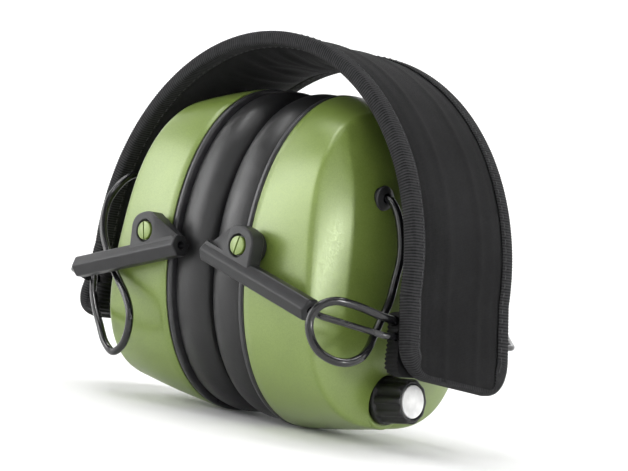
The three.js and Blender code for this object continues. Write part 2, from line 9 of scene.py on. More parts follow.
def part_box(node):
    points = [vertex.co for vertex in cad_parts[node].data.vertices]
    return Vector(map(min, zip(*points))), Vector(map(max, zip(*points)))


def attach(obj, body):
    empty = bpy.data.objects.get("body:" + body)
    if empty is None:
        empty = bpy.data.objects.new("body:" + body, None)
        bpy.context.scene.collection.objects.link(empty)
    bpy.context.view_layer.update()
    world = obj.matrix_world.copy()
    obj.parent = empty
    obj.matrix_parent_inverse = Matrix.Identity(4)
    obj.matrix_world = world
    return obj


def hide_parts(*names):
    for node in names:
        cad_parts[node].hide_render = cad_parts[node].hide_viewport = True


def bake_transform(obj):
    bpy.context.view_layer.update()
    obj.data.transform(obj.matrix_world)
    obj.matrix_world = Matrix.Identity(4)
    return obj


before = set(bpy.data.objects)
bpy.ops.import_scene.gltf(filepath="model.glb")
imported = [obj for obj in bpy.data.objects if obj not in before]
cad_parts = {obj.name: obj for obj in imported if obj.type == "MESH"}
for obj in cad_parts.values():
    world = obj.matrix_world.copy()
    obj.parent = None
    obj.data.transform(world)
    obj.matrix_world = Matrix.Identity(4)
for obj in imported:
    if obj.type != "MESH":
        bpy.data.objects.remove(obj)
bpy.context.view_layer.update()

# ---------- Places and sizes ----------
# Lengths are in millimetres about the point midway between the two cups. at() turns them into the frame's
# metres.
MM = 0.001
ring_low, ring_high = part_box("base_ring_right")
CENTRE_Z = (ring_low.z + ring_high.z) / 2

# Cup: an oval outline at the rim, a squarer one at the crease, which leans, and a domed face.
CUP_HALF_HEIGHT = 57.0
CUP_HALF_WIDTH = 42.6
CUP_POWER = 2.1
SHELL_RIM = 18.7
SHELL_APEX = 54.0
SHELL_WALL = 2.5
CREASE_HALF_HEIGHT = 51.4
CREASE_HALF_WIDTH = 41.3
CREASE_POWER = 2.7
CREASE_X = 44.8
CREASE_LEAN = 6.6
DOME_POWER = 2.2

# Headband: half an ellipse on two splayed legs, the right one with a slanted end.
BAND_HALF_SPAN = 75.4
BAND_RISE = 80.2
BAND_SPRINGING = -5.7
BAND_END = -33.3
RIGHT_END_SLANT = 0.11
LEG_SPLAY = 0.165
BAND_HALF_WIDTH = 26.4
CORNER_RADIUS = 11.5
RIB_PERIOD = 0.95

# Arm: the hinge in the band's end, the arm's slope, and the pivot pin's place along the arm and above it.
HINGE_X = 71.3
HINGE_Z = -19.5
ARM_RISE = radians(15.2)
PIN_U = 52.8
PIN_N = 7.1
WIRE_RADIUS = 1.05
CABLE_DIAMETER = 2.7
# The cable's hole in the hinge block, by X and Z.
CABLE_HOLE = (69.8, -14.6)

# Knob: a point on its leaning axis. The grommet is given by X, Y and Z, the microphone by Y, Z and radius.
KNOB_X = 57.0
KNOB_Y = -2.0
KNOB_Z = -41.2
KNOB_LEAN = math.atan(CREASE_LEAN / CREASE_HALF_HEIGHT)
GROMMET = (50.0, -16.6, 23.2)
MICROPHONE = (17.0, 12.0, 4.0)
SIDES = {"right": 1, "left": -1}


def at(x, y, z):
    """Frame point, in metres, of a place given in millimetres."""
    return Vector((x * MM, y * MM, z * MM + CENTRE_Z))


def knob_point(x, a, b):
    """Frame point of a place given along the knob's leaning axis and across it."""
    c, s = cos(KNOB_LEAN), sin(KNOB_LEAN)
    return at(KNOB_X + (x - KNOB_X) * c - b * s, KNOB_Y + a, KNOB_Z + (x - KNOB_X) * s + b * c)


def lerp(a, b, t):
    return a + (b - a) * t


def turns(count):
    """Angles of equal steps once round a circle."""
    return [2 * pi * i / count for i in range(count)]


def smooth_step(t):
    t = min(1.0, max(0.0, t))
    return t * t * (3 - 2 * t)


# ---------- Meshes ----------
def mesh_object(name, points, faces, uv=None):
    """Object from frame points and faces, with its faces turned outwards. uv is one pair for each point."""
    mesh = bpy.data.meshes.new(name)
    mesh.from_pydata([tuple(p) for p in points], [], faces)
    if uv is not None:
        layer = mesh.uv_layers.new(name="UVMap")
        for loop in mesh.loops:
            layer.data[loop.index].uv = uv[loop.vertex_index]
    work = bmesh.new()
    work.from_mesh(mesh)
    bmesh.ops.recalc_face_normals(work, faces=work.faces)
    work.to_mesh(mesh)
    work.free()
    piece = bpy.data.objects.new(name, mesh)
    bpy.context.scene.collection.objects.link(piece)
    return piece


def loft(name, rings, closed_path=False, caps=True, uv=None):
    """Skin through rings of points; each ring is closed on itself."""
    count = len(rings[0])
    points = [p for ring in rings for p in ring]
    faces = []
    spans = len(rings) if closed_path else len(rings) - 1
    for i in range(spans):
        a = i * count
        b = (i + 1) % len(rings) * count
        for j in range(count):
            k = (j + 1) % count
            faces.append((a + j, a + k, b + k, b + j))
    if caps and not closed_path:
        faces.append(tuple(range(count)))
        faces.append(tuple(len(points) - 1 - j for j in range(count)))
    flat_uv = None if uv is None else [pair for ring in uv for pair in ring]
    return mesh_object(name, points, faces, flat_uv)


def shade(piece, angle):
    """Smooth shading, with edges sharper than the angle left sharp."""
    piece.data.polygons.foreach_set("use_smooth", [True] * len(piece.data.polygons))
    piece.data.set_sharp_from_angle(angle=radians(angle))


def finish_piece(piece, look, body=None, replaces=(), angle=35):
    """Material, shading, the body that it rides on and the CAD nodes that it stands for."""
    piece.data.materials.clear()
    piece.data.materials.append(look)
    shade(piece, angle)
    if body:
        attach(piece, body)
    if replaces:
        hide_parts(*replaces)


def combine(piece, other, operation):
    """Joins, or cuts, the other object into the piece, and removes the other."""
    modifier = piece.modifiers.new("combine", "BOOLEAN")
    modifier.operation = operation
    modifier.solver = "EXACT"
    modifier.object = other
    bpy.context.view_layer.update()
    graph = bpy.context.evaluated_depsgraph_get()
    result = bpy.data.meshes.new_from_object(piece.evaluated_get(graph))
    piece.modifiers.clear()
    piece.data = result
    bpy.data.objects.remove(other)


def cut(piece, *cutters):
    """Cuts the other objects out of the piece, and removes them."""
    for cutter in cutters:
        combine(piece, cutter, "DIFFERENCE")


# A turned piece's end on its own axis has this radius, so that no face collapses to a line.
NEAR_AXIS = 1e-4


def turned(name, profile, centre, axis="X", segments=48, sign=1):
    """Solid of revolution: profile points are (place along the axis, radius).

    The axis runs along X or Y through centre, or is the knob's own, which needs no centre."""
    rings = []
    for place, radius in profile:
        ring = []
        for angle in turns(segments):
            a = max(radius, NEAR_AXIS) * cos(angle)
            b = max(radius, NEAR_AXIS) * sin(angle)
            if axis == "knob":
                ring.append(knob_point(place, a, b))
            elif axis == "X":
                ring.append(at(sign * place, centre[0] + a, centre[1] + b))
            else:
                ring.append(at(centre[0] + a, sign * place, centre[1] + b))
        rings.append(ring)
    closed = profile[0] == profile[-1]
    if closed:
        rings.pop()
    return loft(name, rings, closed_path=closed)


def block(name, low, high):
    """Plain box, used only as a cutting tool or as stock for a larger piece."""
    x0, y0, z0 = low
    x1, y1, z1 = high
    rings = [[at(x, y0, z0), at(x, y1, z0), at(x, y1, z1), at(x, y0, z1)] for x in (x0, x1)]
    return loft(name, rings)


def refined(node, look, body, bevel, segments=2):
    """Machined copy of a CAD node with its sharp edges rounded."""
    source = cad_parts[node]
    work = bmesh.new()
    work.from_mesh(source.data)
    bmesh.ops.remove_doubles(work, verts=work.verts, dist=0.01 * MM)
    sharp = [e for e in work.edges if len(e.link_faces) == 2 and e.calc_face_angle(0) > radians(28)]
    bmesh.ops.bevel(work, geom=sharp, offset=bevel * MM, segments=segments, profile=0.6,
                    affect="EDGES", clamp_overlap=True)
    mesh = bpy.data.meshes.new(node)
    work.to_mesh(mesh)
    work.free()
    piece = bpy.data.objects.new(f"{node}_finish", mesh)
    bpy.context.scene.collection.objects.link(piece)
    finish_piece(piece, look, body, [node], angle=32)


# ---------- Curves ----------
def centripetal(points, step):
    """Centripetal Catmull-Rom curve through the points, as points about one step apart."""
    pts = [Vector(p) for p in points]
    pts = [2 * pts[0] - pts[1]] + pts + [2 * pts[-1] - pts[-2]]
    out = []
    for p0, p1, p2, p3 in zip(pts, pts[1:], pts[2:], pts[3:]):
        d1 = (p1 - p0).length ** 0.5
        d2 = (p2 - p1).length ** 0.5
        d3 = (p3 - p2).length ** 0.5
        m1 = ((p1 - p0) / d1 - (p2 - p0) / (d1 + d2) + (p2 - p1) / d2) * d2
        m2 = ((p2 - p1) / d2 - (p3 - p1) / (d2 + d3) + (p3 - p2) / d3) * d2
        count = max(2, round((p2 - p1).length / step))
        for i in range(count):
            t = i / count
            out.append((2 * t**3 - 3 * t**2 + 1) * p1 + (t**3 - 2 * t**2 + t) * m1
                       + (-2 * t**3 + 3 * t**2) * p2 + (t**3 - t**2) * m2)
    return out + [pts[-2]]


def rounded_corner(before, corner, after, size, shares):
    """Points of a small round bend in place of a corner, at those shares of the bend."""
    enter = corner + (before - corner).normalized() * size
    leave = corner + (after - corner).normalized() * size
    return [enter.lerp(corner, t).lerp(corner.lerp(leave, t), t) for t in shares]


def tube_rings(path, radius, sides, start_normal=Vector((0, 0, 1))):
    """Rings of a round tube along frame points; the section is carried along without twist."""
    normal = start_normal
    rings = []
    for i, point in enumerate(path):
        ahead = path[min(i + 1, len(path) - 1)] - path[max(i - 1, 0)]
        tangent = ahead.normalized()
        normal = (normal - tangent * normal.dot(tangent)).normalized()
        binormal = tangent.cross(normal)
        rings.append([point + radius * (cos(a) * normal + sin(a) * binormal) for a in turns(sides)])
    return rings


# ---------- Materials ----------
# Period, in metres, of a wave texture whose scale is 1.
WAVE_PERIOD = 0.314159


class Look:
    """A Principled material and the procedural detail added to it. Texture sizes are in metres."""

    def __init__(self, name, color, roughness, **values):
        self.material = bpy.data.materials.new(name)
        self.material.use_nodes = True
        self.nodes = self.material.node_tree.nodes
        self.links = self.material.node_tree.links
        self.shader = self.nodes["Principled BSDF"]
        self.shader.inputs["Base Color"].default_value = (*color, 1)
        self.shader.inputs["Roughness"].default_value = roughness
        for socket, value in values.items():
            self.shader.inputs[socket.replace("_", " ")].default_value = value
        self.coords = self.nodes.new("ShaderNodeTexCoord")
        self.height = None

    def link(self, output, socket):
        self.links.new(output, socket)

    def place(self, kind="Object", scale=(1, 1, 1)):
        """Coordinates of that kind, stretched."""
        mapping = self.nodes.new("ShaderNodeMapping")
        mapping.inputs["Scale"].default_value = scale
        self.link(self.coords.outputs[kind], mapping.inputs["Vector"])
        return mapping.outputs["Vector"]

    def texture(self, kind, place, scale, **values):
        """Texture node of that kind, with its scale and any other values."""
        node = self.nodes.new(f"ShaderNodeTex{kind}")
        node.inputs["Scale"].default_value = scale
        for socket, value in values.items():
            node.inputs[socket].default_value = value
        self.link(place, node.inputs["Vector"])
        return node

    def grain(self, size, detail=2.0, scale=(1, 1, 1), roughness=0.5):
        """Noise with features of about that size."""
        place = self.place(scale=scale)
        return self.texture("Noise", place, 1 / size, Detail=detail, Roughness=roughness).outputs["Fac"]

    def flakes(self, size):
        """A random value for each small cell."""
        split = self.nodes.new("ShaderNodeSeparateColor")
        self.link(self.texture("Voronoi", self.place(), 1 / size).outputs["Color"], split.inputs["Color"])
        return split.outputs["Red"]

    def cells(self, size):
        """Distance to the nearest cell centre, 0 to about 1."""
        return self.texture("Voronoi", self.place(), 1 / size).outputs["Distance"]

    def ribs(self, period, direction="X", kind="UV", distortion=0.0):
        """Bands that repeat at that period."""
        node = self.texture("Wave", self.place(kind), WAVE_PERIOD / period, Distortion=distortion)
        node.bands_direction = direction
        return node.outputs["Fac"]

    def math(self, operation, a, b):
        node = self.nodes.new("ShaderNodeMath")
        node.operation = operation
        for socket, value in zip(node.inputs, (a, b)):
            if isinstance(value, (int, float)):
                socket.default_value = value
            else:
                self.link(value, socket)
        return node.outputs["Value"]

    def scaled(self, value, low, high, start=0.0, end=1.0):
        """Maps start..end of a value to low..high."""
        node = self.nodes.new("ShaderNodeMapRange")
        for socket, number in (("From Min", start), ("From Max", end), ("To Min", low), ("To Max", high)):
            node.inputs[socket].default_value = number
        self.link(value, node.inputs["Value"])
        return node.outputs["Result"]

    def colour(self, value, first, second, start=0.3, end=0.7):
        """Base colour that runs from first to second with the value."""
        ramp = self.nodes.new("ShaderNodeValToRGB")
        ramp.color_ramp.elements[0].position = start
        ramp.color_ramp.elements[0].color = (*first, 1)
        ramp.color_ramp.elements[1].position = end
        ramp.color_ramp.elements[1].color = (*second, 1)
        self.link(value, ramp.inputs["Fac"])
        self.link(ramp.outputs["Color"], self.shader.inputs["Base Color"])
        return self

    def rough(self, value, low, high, start=0.3, end=0.7):
        self.link(self.scaled(value, low, high, start, end), self.shader.inputs["Roughness"])
        return self

    def bump(self, value, distance, strength=1.0):
        """Adds relief of that height, in metres, on top of any earlier relief."""
        node = self.nodes.new("ShaderNodeBump")
        node.inputs["Distance"].default_value = distance
        node.inputs["Strength"].default_value = strength
        self.link(value, node.inputs["Height"])
        if self.height is not None:
            self.link(self.height, node.inputs["Normal"])
        self.height = node.outputs["Normal"]
        self.link(self.height, self.shader.inputs["Normal"])
        return self


def green_look():
    """Pearl green plastic: fine flakes catch the light, with a faint moulded grain."""
    look = Look("pearl_green", (0.16, 0.23, 0.042), 0.34, Metallic=0.15, Coat_Weight=0.55,
                Coat_Roughness=0.32)
    flakes = look.flakes(0.0003)
    broad = look.grain(0.018, detail=3)
    mixed = look.math("ADD", look.math("MULTIPLY", flakes, 0.35), look.math("MULTIPLY", broad, 0.65))
    look.colour(mixed, (0.138, 0.2, 0.034), (0.184, 0.256, 0.054), 0.25, 0.75)
    look.rough(flakes, 0.28, 0.42, 0.0, 1.0)
    look.bump(look.grain(0.0006, detail=3), 0.000012)
    return look.material


def moulded_look(name, color, roughness, texture=0.00035, depth=0.00002, **values):
    """Moulded plastic with a spark-eroded texture and slightly uneven gloss."""
    look = Look(name, color, roughness, **values)
    broad = look.grain(0.006, detail=4)
    light = tuple(c * 1.25 + 0.002 for c in color)
    dark = tuple(c * 0.8 for c in color)
    look.colour(broad, dark, light)
    look.rough(broad, roughness - 0.06, roughness + 0.08)
    look.bump(look.grain(texture, detail=3), depth)
    return look.material


def vinyl_look():
    """Soft cushion skin: fine leather grain and broad uneven gloss."""
    look = Look("cushion_vinyl", (0.01, 0.01, 0.0103), 0.36, Specular_IOR_Level=0.5)
    broad = look.grain(0.012, detail=3)
    look.colour(broad, (0.0075, 0.0075, 0.0078), (0.0125, 0.0125, 0.013))
    look.rough(broad, 0.33, 0.45)
    look.bump(look.cells(0.0009), 0.00002)
    look.bump(look.grain(0.0022, detail=4), 0.00003)
    return look.material


def fabric_look():
    """Laminated knit: rows of fine loops, lint and long soft rubs from wear."""
    look = Look("band_fabric", (0.02, 0.02, 0.021), 0.9, Sheen_Weight=0.02, Specular_IOR_Level=0.12)
    rubs = look.grain(0.03, detail=5, roughness=0.6)
    lint = look.grain(0.0012, detail=4, roughness=0.7)
    mixed = look.math("ADD", look.math("MULTIPLY", rubs, 0.6), look.math("MULTIPLY", lint, 0.4))
    look.colour(mixed, (0.006, 0.006, 0.0062), (0.0155, 0.0155, 0.016), 0.35, 0.68)
    across = look.ribs(0.00055, "X", distortion=0.6)
    along = look.ribs(0.0005, "Y", distortion=0.6)
    loops = look.math("MULTIPLY", across, along)
    look.bump(loops, 0.00005)
    look.bump(lint, 0.00006)
    return look.material


def tape_look():
    """Ribbed elastic tape with a finer thread across the ribs; its colour has random lint, painted shade in
    the rib troughs and a painted highlight on the rib crests.
    """
    look = Look("binding_tape", (0.03, 0.03, 0.031), 0.9, Sheen_Weight=0.03, Specular_IOR_Level=0.15)
    lint = look.grain(0.0016, detail=4, roughness=0.7)
    ribs = look.ribs(RIB_PERIOD * MM, "Y", distortion=0.5)
    # Colour mix: random lint, plus the ribs as painted shade in the troughs and a painted highlight on the
    # crests.
    mixed = look.math("ADD", look.math("MULTIPLY", lint, 0.55), look.math("MULTIPLY", ribs, 0.45))
    look.colour(mixed, (0.005, 0.005, 0.0052), (0.045, 0.045, 0.047), 0.25, 0.85)
    look.bump(ribs, 0.00012)
    look.bump(look.ribs(0.00042, "X", distortion=0.4), 0.00006)
    look.bump(lint, 0.00006)
    return look.material


def foam_look():
    """Open-cell foam whose pores are coloured dark, as painted shade in their hollows."""
    look = Look("open_foam", (0.02, 0.02, 0.021), 0.95)
    pores = look.cells(0.0011)
    # Dark colour at the pore centres is painted shade in the pore hollows.
    look.colour(pores, (0.008, 0.008, 0.008), (0.035, 0.035, 0.036), 0.1, 0.6)
    look.bump(pores, 0.0003)
    return look.material


def metal_look(name, color, roughness):
    """Plated metal with fine brushed streaks."""
    look = Look(name, color, roughness, Metallic=1.0)
    streaks = look.grain(0.0004, detail=3, scale=(1, 0.08, 1))
    light = tuple(min(1, c * 1.15) for c in color)
    look.colour(streaks, tuple(c * 0.8 for c in color), light)
    look.rough(streaks, roughness - 0.07, roughness + 0.1)
    look.bump(streaks, 0.000006)
    return look.material


def wire_look():
    """Gloss black painted wire with faint drawing marks and small rubs."""
    look = Look("black_wire", (0.008, 0.008, 0.009), 0.22, Coat_Weight=0.4, Coat_Roughness=0.12)
    rubs = look.grain(0.004, detail=5)
    look.colour(rubs, (0.006, 0.006, 0.007), (0.016, 0.016, 0.017), 0.45, 0.8)
    look.rough(rubs, 0.16, 0.34, 0.4, 0.75)
    look.bump(look.grain(0.0008, detail=2), 0.000006)
    return look.material


def cable_look():
    """Glossy black jacket with slightly uneven gloss."""
    look = Look("cable_jacket", (0.005, 0.005, 0.006), 0.2, Coat_Weight=0.1, Coat_Roughness=0.1)
    broad = look.grain(0.008, detail=4)
    look.colour(broad, (0.004, 0.004, 0.0045), (0.008, 0.008, 0.009))
    look.rough(broad, 0.12, 0.22)
    look.bump(look.grain(0.0009, detail=3), 0.00001)
    return look.material


def board_look():
    """Green circuit board with lighter tracks."""
    look = Look("circuit_board", (0.02, 0.11, 0.045), 0.4)
    tracks = look.cells(0.004)
    look.colour(tracks, (0.014, 0.08, 0.03), (0.03, 0.16, 0.06), 0.35, 0.4)
    look.bump(tracks, 0.00002)
    return look.material


def cell_look():
    """Printed wrap of a battery cell, in plain bands."""
    look = Look("cell_wrap", (0.03, 0.09, 0.2), 0.35, Metallic=0.4)
    look.colour(look.ribs(0.02, "Z", "Object"), (0.02, 0.07, 0.17), (0.035, 0.1, 0.22), 0.45, 0.55)
    look.bump(look.grain(0.002, detail=3), 0.00001)
    return look.material


def floor_look():
    """Matt white paper."""
    look = Look("floor", (0.93, 0.93, 0.93), 0.7)
    look.colour(look.grain(0.4, detail=2), (0.92, 0.92, 0.92), (0.94, 0.94, 0.94))
    return look.material


GREEN = green_look()
BLACK = moulded_look("black_plastic", (0.006, 0.006, 0.0063), 0.36, Specular_IOR_Level=0.4)
RING = moulded_look("ring_plastic", (0.03, 0.03, 0.032), 0.33, texture=0.0005, Specular_IOR_Level=0.5)
GREY = moulded_look("grey_plastic", (0.013, 0.013, 0.014), 0.36, texture=0.00045, depth=0.000035,
                    Specular_IOR_Level=0.34)
# Hinge block: black, with its colour set darker than the other black plastic as painted shade.
BLOCK = moulded_look("hinge_black_painted_shade", (0.003, 0.003, 0.0032), 0.6, Specular_IOR_Level=0.14)
WHITE = moulded_look("white_plastic", (0.82, 0.82, 0.81), 0.35)
RUBBER = moulded_look("black_rubber", (0.02, 0.02, 0.021), 0.5)
THREAD = moulded_look("stitch_thread", (0.03, 0.03, 0.032), 0.6, texture=0.0002, depth=0.00004)
VINYL = vinyl_look()
FABRIC = fabric_look()
TAPE = tape_look()
FOAM = foam_look()
STEEL = metal_look("zinc_steel", (0.55, 0.55, 0.57), 0.32)
WIRE = wire_look()
CABLE = cable_look()
BOARD = board_look()
CELLS = cell_look()


# ---------- Camera ----------
def make_camera():
    """The view: turned round the earmuff, level, and rolled so that the object leans to the right."""
    azimuth = radians(42.468)
    elevation = radians(-0.062)
    roll = radians(8.642)
    distance = 0.63233
    aim = at(7.604, 0.004, 8.003)
    back = Vector((sin(azimuth) * cos(elevation), -cos(azimuth) * cos(elevation),
                   sin(elevation)))
    right = Vector((cos(azimuth), sin(azimuth), 0))
    up = back.cross(right)
    across = right * cos(roll) + up * sin(roll)
    upright = up * cos(roll) - right * sin(roll)
    data = bpy.data.cameras.new("camera")
    data.sensor_width = 36
    data.lens = 105.15
    data.clip_start = 0.05
    data.clip_end = 20
    camera = bpy.data.objects.new("camera", data)
    turn = Matrix((across, upright, back)).transposed().to_4x4()
    camera.matrix_world = Matrix.Translation(aim + back * distance) @ turn
    bpy.context.scene.collection.objects.link(camera)
    bpy.context.scene.camera = camera


# ---------- Cables ----------
RIGHT_CABLE = [
    (48.5, -16.6, 23.2), (53.5, -16.8, 22.8), (57.3, -17.2, 19.5), (60.2, -17.4, 13.5), (61.8, -17.4, 6),
    (61.5, -18, -2.5), (62.4, -20.4, -9.6), (63.2, -24.2, -15.6), (65.2, -28.9, -20.8), (68.6, -34.4, -24),
    (71, -40.6, -27.1), (70.4, -46.2, -28.8), (68, -50.6, -28.3), (64.7, -53.4, -25.9),
    (61.6, -54.4, -21.2), (61, -54.2, -16.4), (62.4, -52, -12.6), (64.4, -48, -10.8), (66.4, -43, -11.1),
    (68, -37.5, -12.2), (69.2, -32.6, -13.4), (69.8, -27.6, -14.2), (69.8, -22.6, -14.6),
    (69.8, -18.2, -14.6),
]
LEFT_CABLE = [
    (-48.5, -16.6, 23.2), (-54, -17, 22.7), (-57.5, -19.6, 22.3), (-58.7, -24.6, 20.6),
    (-58.1, -30.4, 18.1), (-56.9, -35.6, 14), (-56.3, -39, 9.2), (-54.8, -41.2, 3.4), (-52.2, -42.3, -2.5),
    (-48.6, -42.5, -8.1), (-44.2, -42.9, -13.3), (-38.2, -44.6, -17.4), (-32.5, -45.8, -21.7),
    (-28.5, -46.4, -27.2), (-28.2, -46.2, -33.2), (-31.1, -45.2, -38.7), (-36, -44.4, -41.7),
    (-42.4, -43, -39.3), (-48.6, -41, -34.1), (-56, -37.8, -28.5), (-62.5, -34.2, -23.4),
    (-66.6, -31.2, -17.4), (-69.4, -27.4, -14.8), (-69.8, -22.6, -14.6), (-69.8, -18.2, -14.6),
]
# Where a cable is handed from one moving body to the next, as places in its list of points.
CABLE_CUTS = {"right": (17, 10), "left": (18, 11)}


def build_cable(word, route):
    """One cable as three stretches, split where it crosses a joint between the headband and the cup."""
    near, far = CABLE_CUTS[word]
    points = [at(*p) for p in route]
    whole = centripetal(points, 1.0 * MM)

    def nearest(mark):
        return min(range(len(whole)), key=lambda i: (whole[i] - points[mark]).length)

    yoke_end, slider_end = nearest(near), nearest(far)
    stretches = [
        ("band", whole[yoke_end:], "headband", f"{word}_yoke"),
        ("loop", whole[slider_end:yoke_end + 1], f"{word}_yoke", f"{word}_sliders"),
        ("cup", whole[:slider_end + 1], f"{word}_sliders", f"{word}_cup"),
    ]
    for place, path, first, second in stretches:
        path = path[::-1]
        rings = tube_rings(path, CABLE_DIAMETER / 2 * MM, 16, Vector((0.3, 0.2, 1)))
        piece = loft(f"cable_{word}_{place}", rings)
        finish_piece(piece, CABLE, replaces=[f"cable_{word}"])
        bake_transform(piece)


make_camera()
build_cable("right", RIGHT_CABLE)
build_cable("left", LEFT_CABLE)


# ---------- Headband ----------
# The left end's outward bend, the height where it starts and the height below that where it is full.
LEFT_FLARE = 3.2
FLARE_START = -13.0
FLARE_HEIGHT = 20.0
# The table of the band starts this much below the right end, because that end is slanted.
RIGHT_END_SPARE = 5.0
ARCH_MEAN_RADIUS = 77.0
SLANT_REACH = 24.0


def end_flare(side, z):
    """How much further out the left end of the band bends, below its hinge."""
    return 0.0 if side > 0 else LEFT_FLARE * max(0.0, (FLARE_START - z) / FLARE_HEIGHT) ** 2


def band_table(step=0.5):
    """Places along the band's outermost surface, right end to left: x, z, inward normal, length so far.

    The length is 0 at the right end's middle."""

    def leg(side, end):
        normal = Vector((-1, -LEG_SPLAY)).normalized()
        count = round((BAND_SPRINGING - end) / step)
        rows = []
        for i in range(1, count + 1):
            z = lerp(BAND_SPRINGING, end, i / count)
            x = BAND_HALF_SPAN + LEG_SPLAY * (BAND_SPRINGING - z) + end_flare(side, z)
            rows.append((side * x, z, side * normal.x, normal.y))
        return rows

    places = leg(1, BAND_END - RIGHT_END_SPARE)[::-1]
    arch_steps = round(pi * ARCH_MEAN_RADIUS / step)
    for i in range(arch_steps + 1):
        angle = pi * i / arch_steps
        c, s = cos(angle), sin(angle)
        normal = Vector((-c / BAND_HALF_SPAN, -s / BAND_RISE)).normalized()
        places.append((BAND_HALF_SPAN * c, BAND_SPRINGING + BAND_RISE * s, normal.x, normal.y))
    places += leg(-1, BAND_END)
    length = -RIGHT_END_SPARE * math.hypot(1, LEG_SPLAY)
    table = []
    for before, place in zip([places[0]] + places, places):
        length += math.hypot(place[0] - before[0], place[1] - before[1])
        table.append((*place, length))
    return table


BAND = band_table()
BAND_LENGTH = BAND[-1][4]


def band_point(s, y, depth):
    """Frame point at a length along the band, a place across it and a depth below its outermost surface."""
    s -= RIGHT_END_SLANT * y * max(0.0, 1 - s / SLANT_REACH)
    s = min(BAND_LENGTH, max(BAND[0][4], s))
    low, high = 0, len(BAND) - 1
    while high - low > 1:
        middle = (low + high) // 2
        if BAND[middle][4] <= s:
            low = middle
        else:
            high = middle
    a, b = BAND[low], BAND[high]
    t = (s - a[4]) / max(1e-9, b[4] - a[4])
    x, z, nx, nz = (lerp(a[k], b[k], t) for k in range(4))
    return at(x + nx * depth, y, z + nz * depth)


def band_half_width(s, inset):
    """Half width of the rounded-end band outline, inset from its edge."""
    radius = CORNER_RADIUS - inset
    from_end = min(s, BAND_LENGTH - s) - inset
    if from_end >= radius:
        return BAND_HALF_WIDTH - inset
    return BAND_HALF_WIDTH - inset - radius + math.sqrt(max(0.0, radius**2 - (radius - from_end) ** 2))


def end_steps(inset, step):
    """Lengths along the band, close together in the rounded ends."""
    fine = [inset + CORNER_RADIUS * (1 - cos(pi / 2 * i / 8)) for i in range(9)]
    middle_count = round((BAND_LENGTH - 2 * fine[-1]) / step)
    middle = [lerp(fine[-1], BAND_LENGTH - fine[-1], i / middle_count) for i in range(1, middle_count)]
    return fine + middle + [BAND_LENGTH - s for s in fine[::-1]]


def band_sheet(name, inset, top, thickness, columns, step):
    """Closed sheet along the band, from top(s, y), the depth of its outer side, and its thickness."""
    rings, uv = [], []
    for s in end_steps(inset, step):
        half = band_half_width(s, inset)
        across = [lerp(-half, half, j / columns) for j in range(columns + 1)]
        upper = [(y, top(s, y)) for y in across]
        lower = [(y, top(s, y) + thickness) for y in across[::-1]]
        rings.append([band_point(s, y, d) for y, d in upper + lower])
        uv.append([(y * MM, s * MM) for y, _ in upper + lower])
    return loft(name, rings, uv=uv)


def cover_depth(s, y):
    """Depth of the outer fabric: it lies over the spring and sinks at its edges and at the bindings."""
    near_edge = smooth_step((BAND_HALF_WIDTH - abs(y) - 4.5) / 5)
    ridge = math.exp(-(((abs(y) - 8.2) / 1.5) ** 2))
    seam = math.exp(-(((abs(y) - 17.0) / 0.8) ** 2))
    slack = noise.noise(Vector((s / 26, y / 14, 3.1)))
    fine = noise.noise(Vector((s / 9, y / 6, 8.2)))
    return 1.15 - 0.75 * near_edge - 0.32 * ridge + 0.3 * seam + 0.22 * slack + 0.07 * fine


def build_cover():
    piece = band_sheet("headband_cover_fabric", 0.9, cover_depth, 1.0, 44, step=1.4)
    finish_piece(piece, FABRIC, "headband", ["headband_cover"], angle=60)


PAD_START = 28.5
LINING_THICKNESS = 0.7


def lining_depth(s, y):
    """Depth of the lining's outer side: padded in the middle, thin at its edges, with small creases."""
    along = smooth_step((min(s, BAND_LENGTH - s) - PAD_START) / 9)
    half = BAND_HALF_WIDTH - 4.5
    bulge = max(0.0, 1 - (abs(y) / half) ** 2.6) ** 0.75
    crease = noise.noise(Vector((s / 5.2, y / 30, 1.7)))
    crease = -abs(crease) * 1.2 + 0.3
    fold = sin(s / 3.1 + 2.2 * noise.noise(Vector((s / 40, y / 25, 5.5)))) * 0.16
    return 3.75 + along * bulge * (4.3 + crease + fold) - LINING_THICKNESS


def build_lining():
    piece = band_sheet("headband_lining_fabric", 1.2, lining_depth, LINING_THICKNESS, 40, step=1.1)
    finish_piece(piece, FABRIC, "headband", ["headband_lining", "headband_foam_pad"],
                 angle=60)


def perimeter(inset, step):
    """Places round the band's outline, inset from its edge: along it, across it, outward direction."""
    half = BAND_HALF_WIDTH - inset
    radius = CORNER_RADIUS - inset
    straight = BAND_LENGTH - 2 * CORNER_RADIUS
    end = 2 * (BAND_HALF_WIDTH - CORNER_RADIUS)
    places = []

    def line(a, b, outward):
        count = max(1, round(math.dist(a, b) / step))
        for i in range(count):
            places.append((lerp(a[0], b[0], i / count), lerp(a[1], b[1], i / count), *outward))

    def corner(s, y, start):
        count = max(1, round(pi / 2 * CORNER_RADIUS / step))
        for i in range(count):
            angle = start + pi / 2 * i / count
            c, n = cos(angle), sin(angle)
            places.append((s + radius * c, y + radius * n, c, n))

    near, far = CORNER_RADIUS, CORNER_RADIUS + straight
    low, high = -end / 2, end / 2
    line((near, -half), (far, -half), (0, -1))
    corner(far, low, -pi / 2)
    line((BAND_LENGTH - inset, low), (BAND_LENGTH - inset, high), (1, 0))
    corner(far, high, 0)
    line((far, half), (near, half), (0, 1))
    corner(near, high, pi / 2)
    line((inset, high), (inset, low), (-1, 0))
    corner(near, low, pi)
    return places


# The tape's section over the band's edge, 0.8 thick: place inward from the edge, and depth.
TAPE_SECTION = [
    (6.0, 0.3), (5.7, 0.04), (3.0, 0.0), (1.0, 0.03), (0.3, 0.4), (0.0, 1.4), (0.0, 3.6), (0.3, 4.6),
    (1.0, 4.97), (3.0, 5.0), (5.7, 4.96), (6.0, 4.7), (5.8, 4.25), (1.0, 4.2), (0.8, 3.8), (0.8, 1.2),
    (1.0, 0.8), (5.8, 0.75),
]
# Four places along the tape make one rib.
RIB_RELIEF = 0.09
RIB_SHAPE = (1, 0, -1, 0)


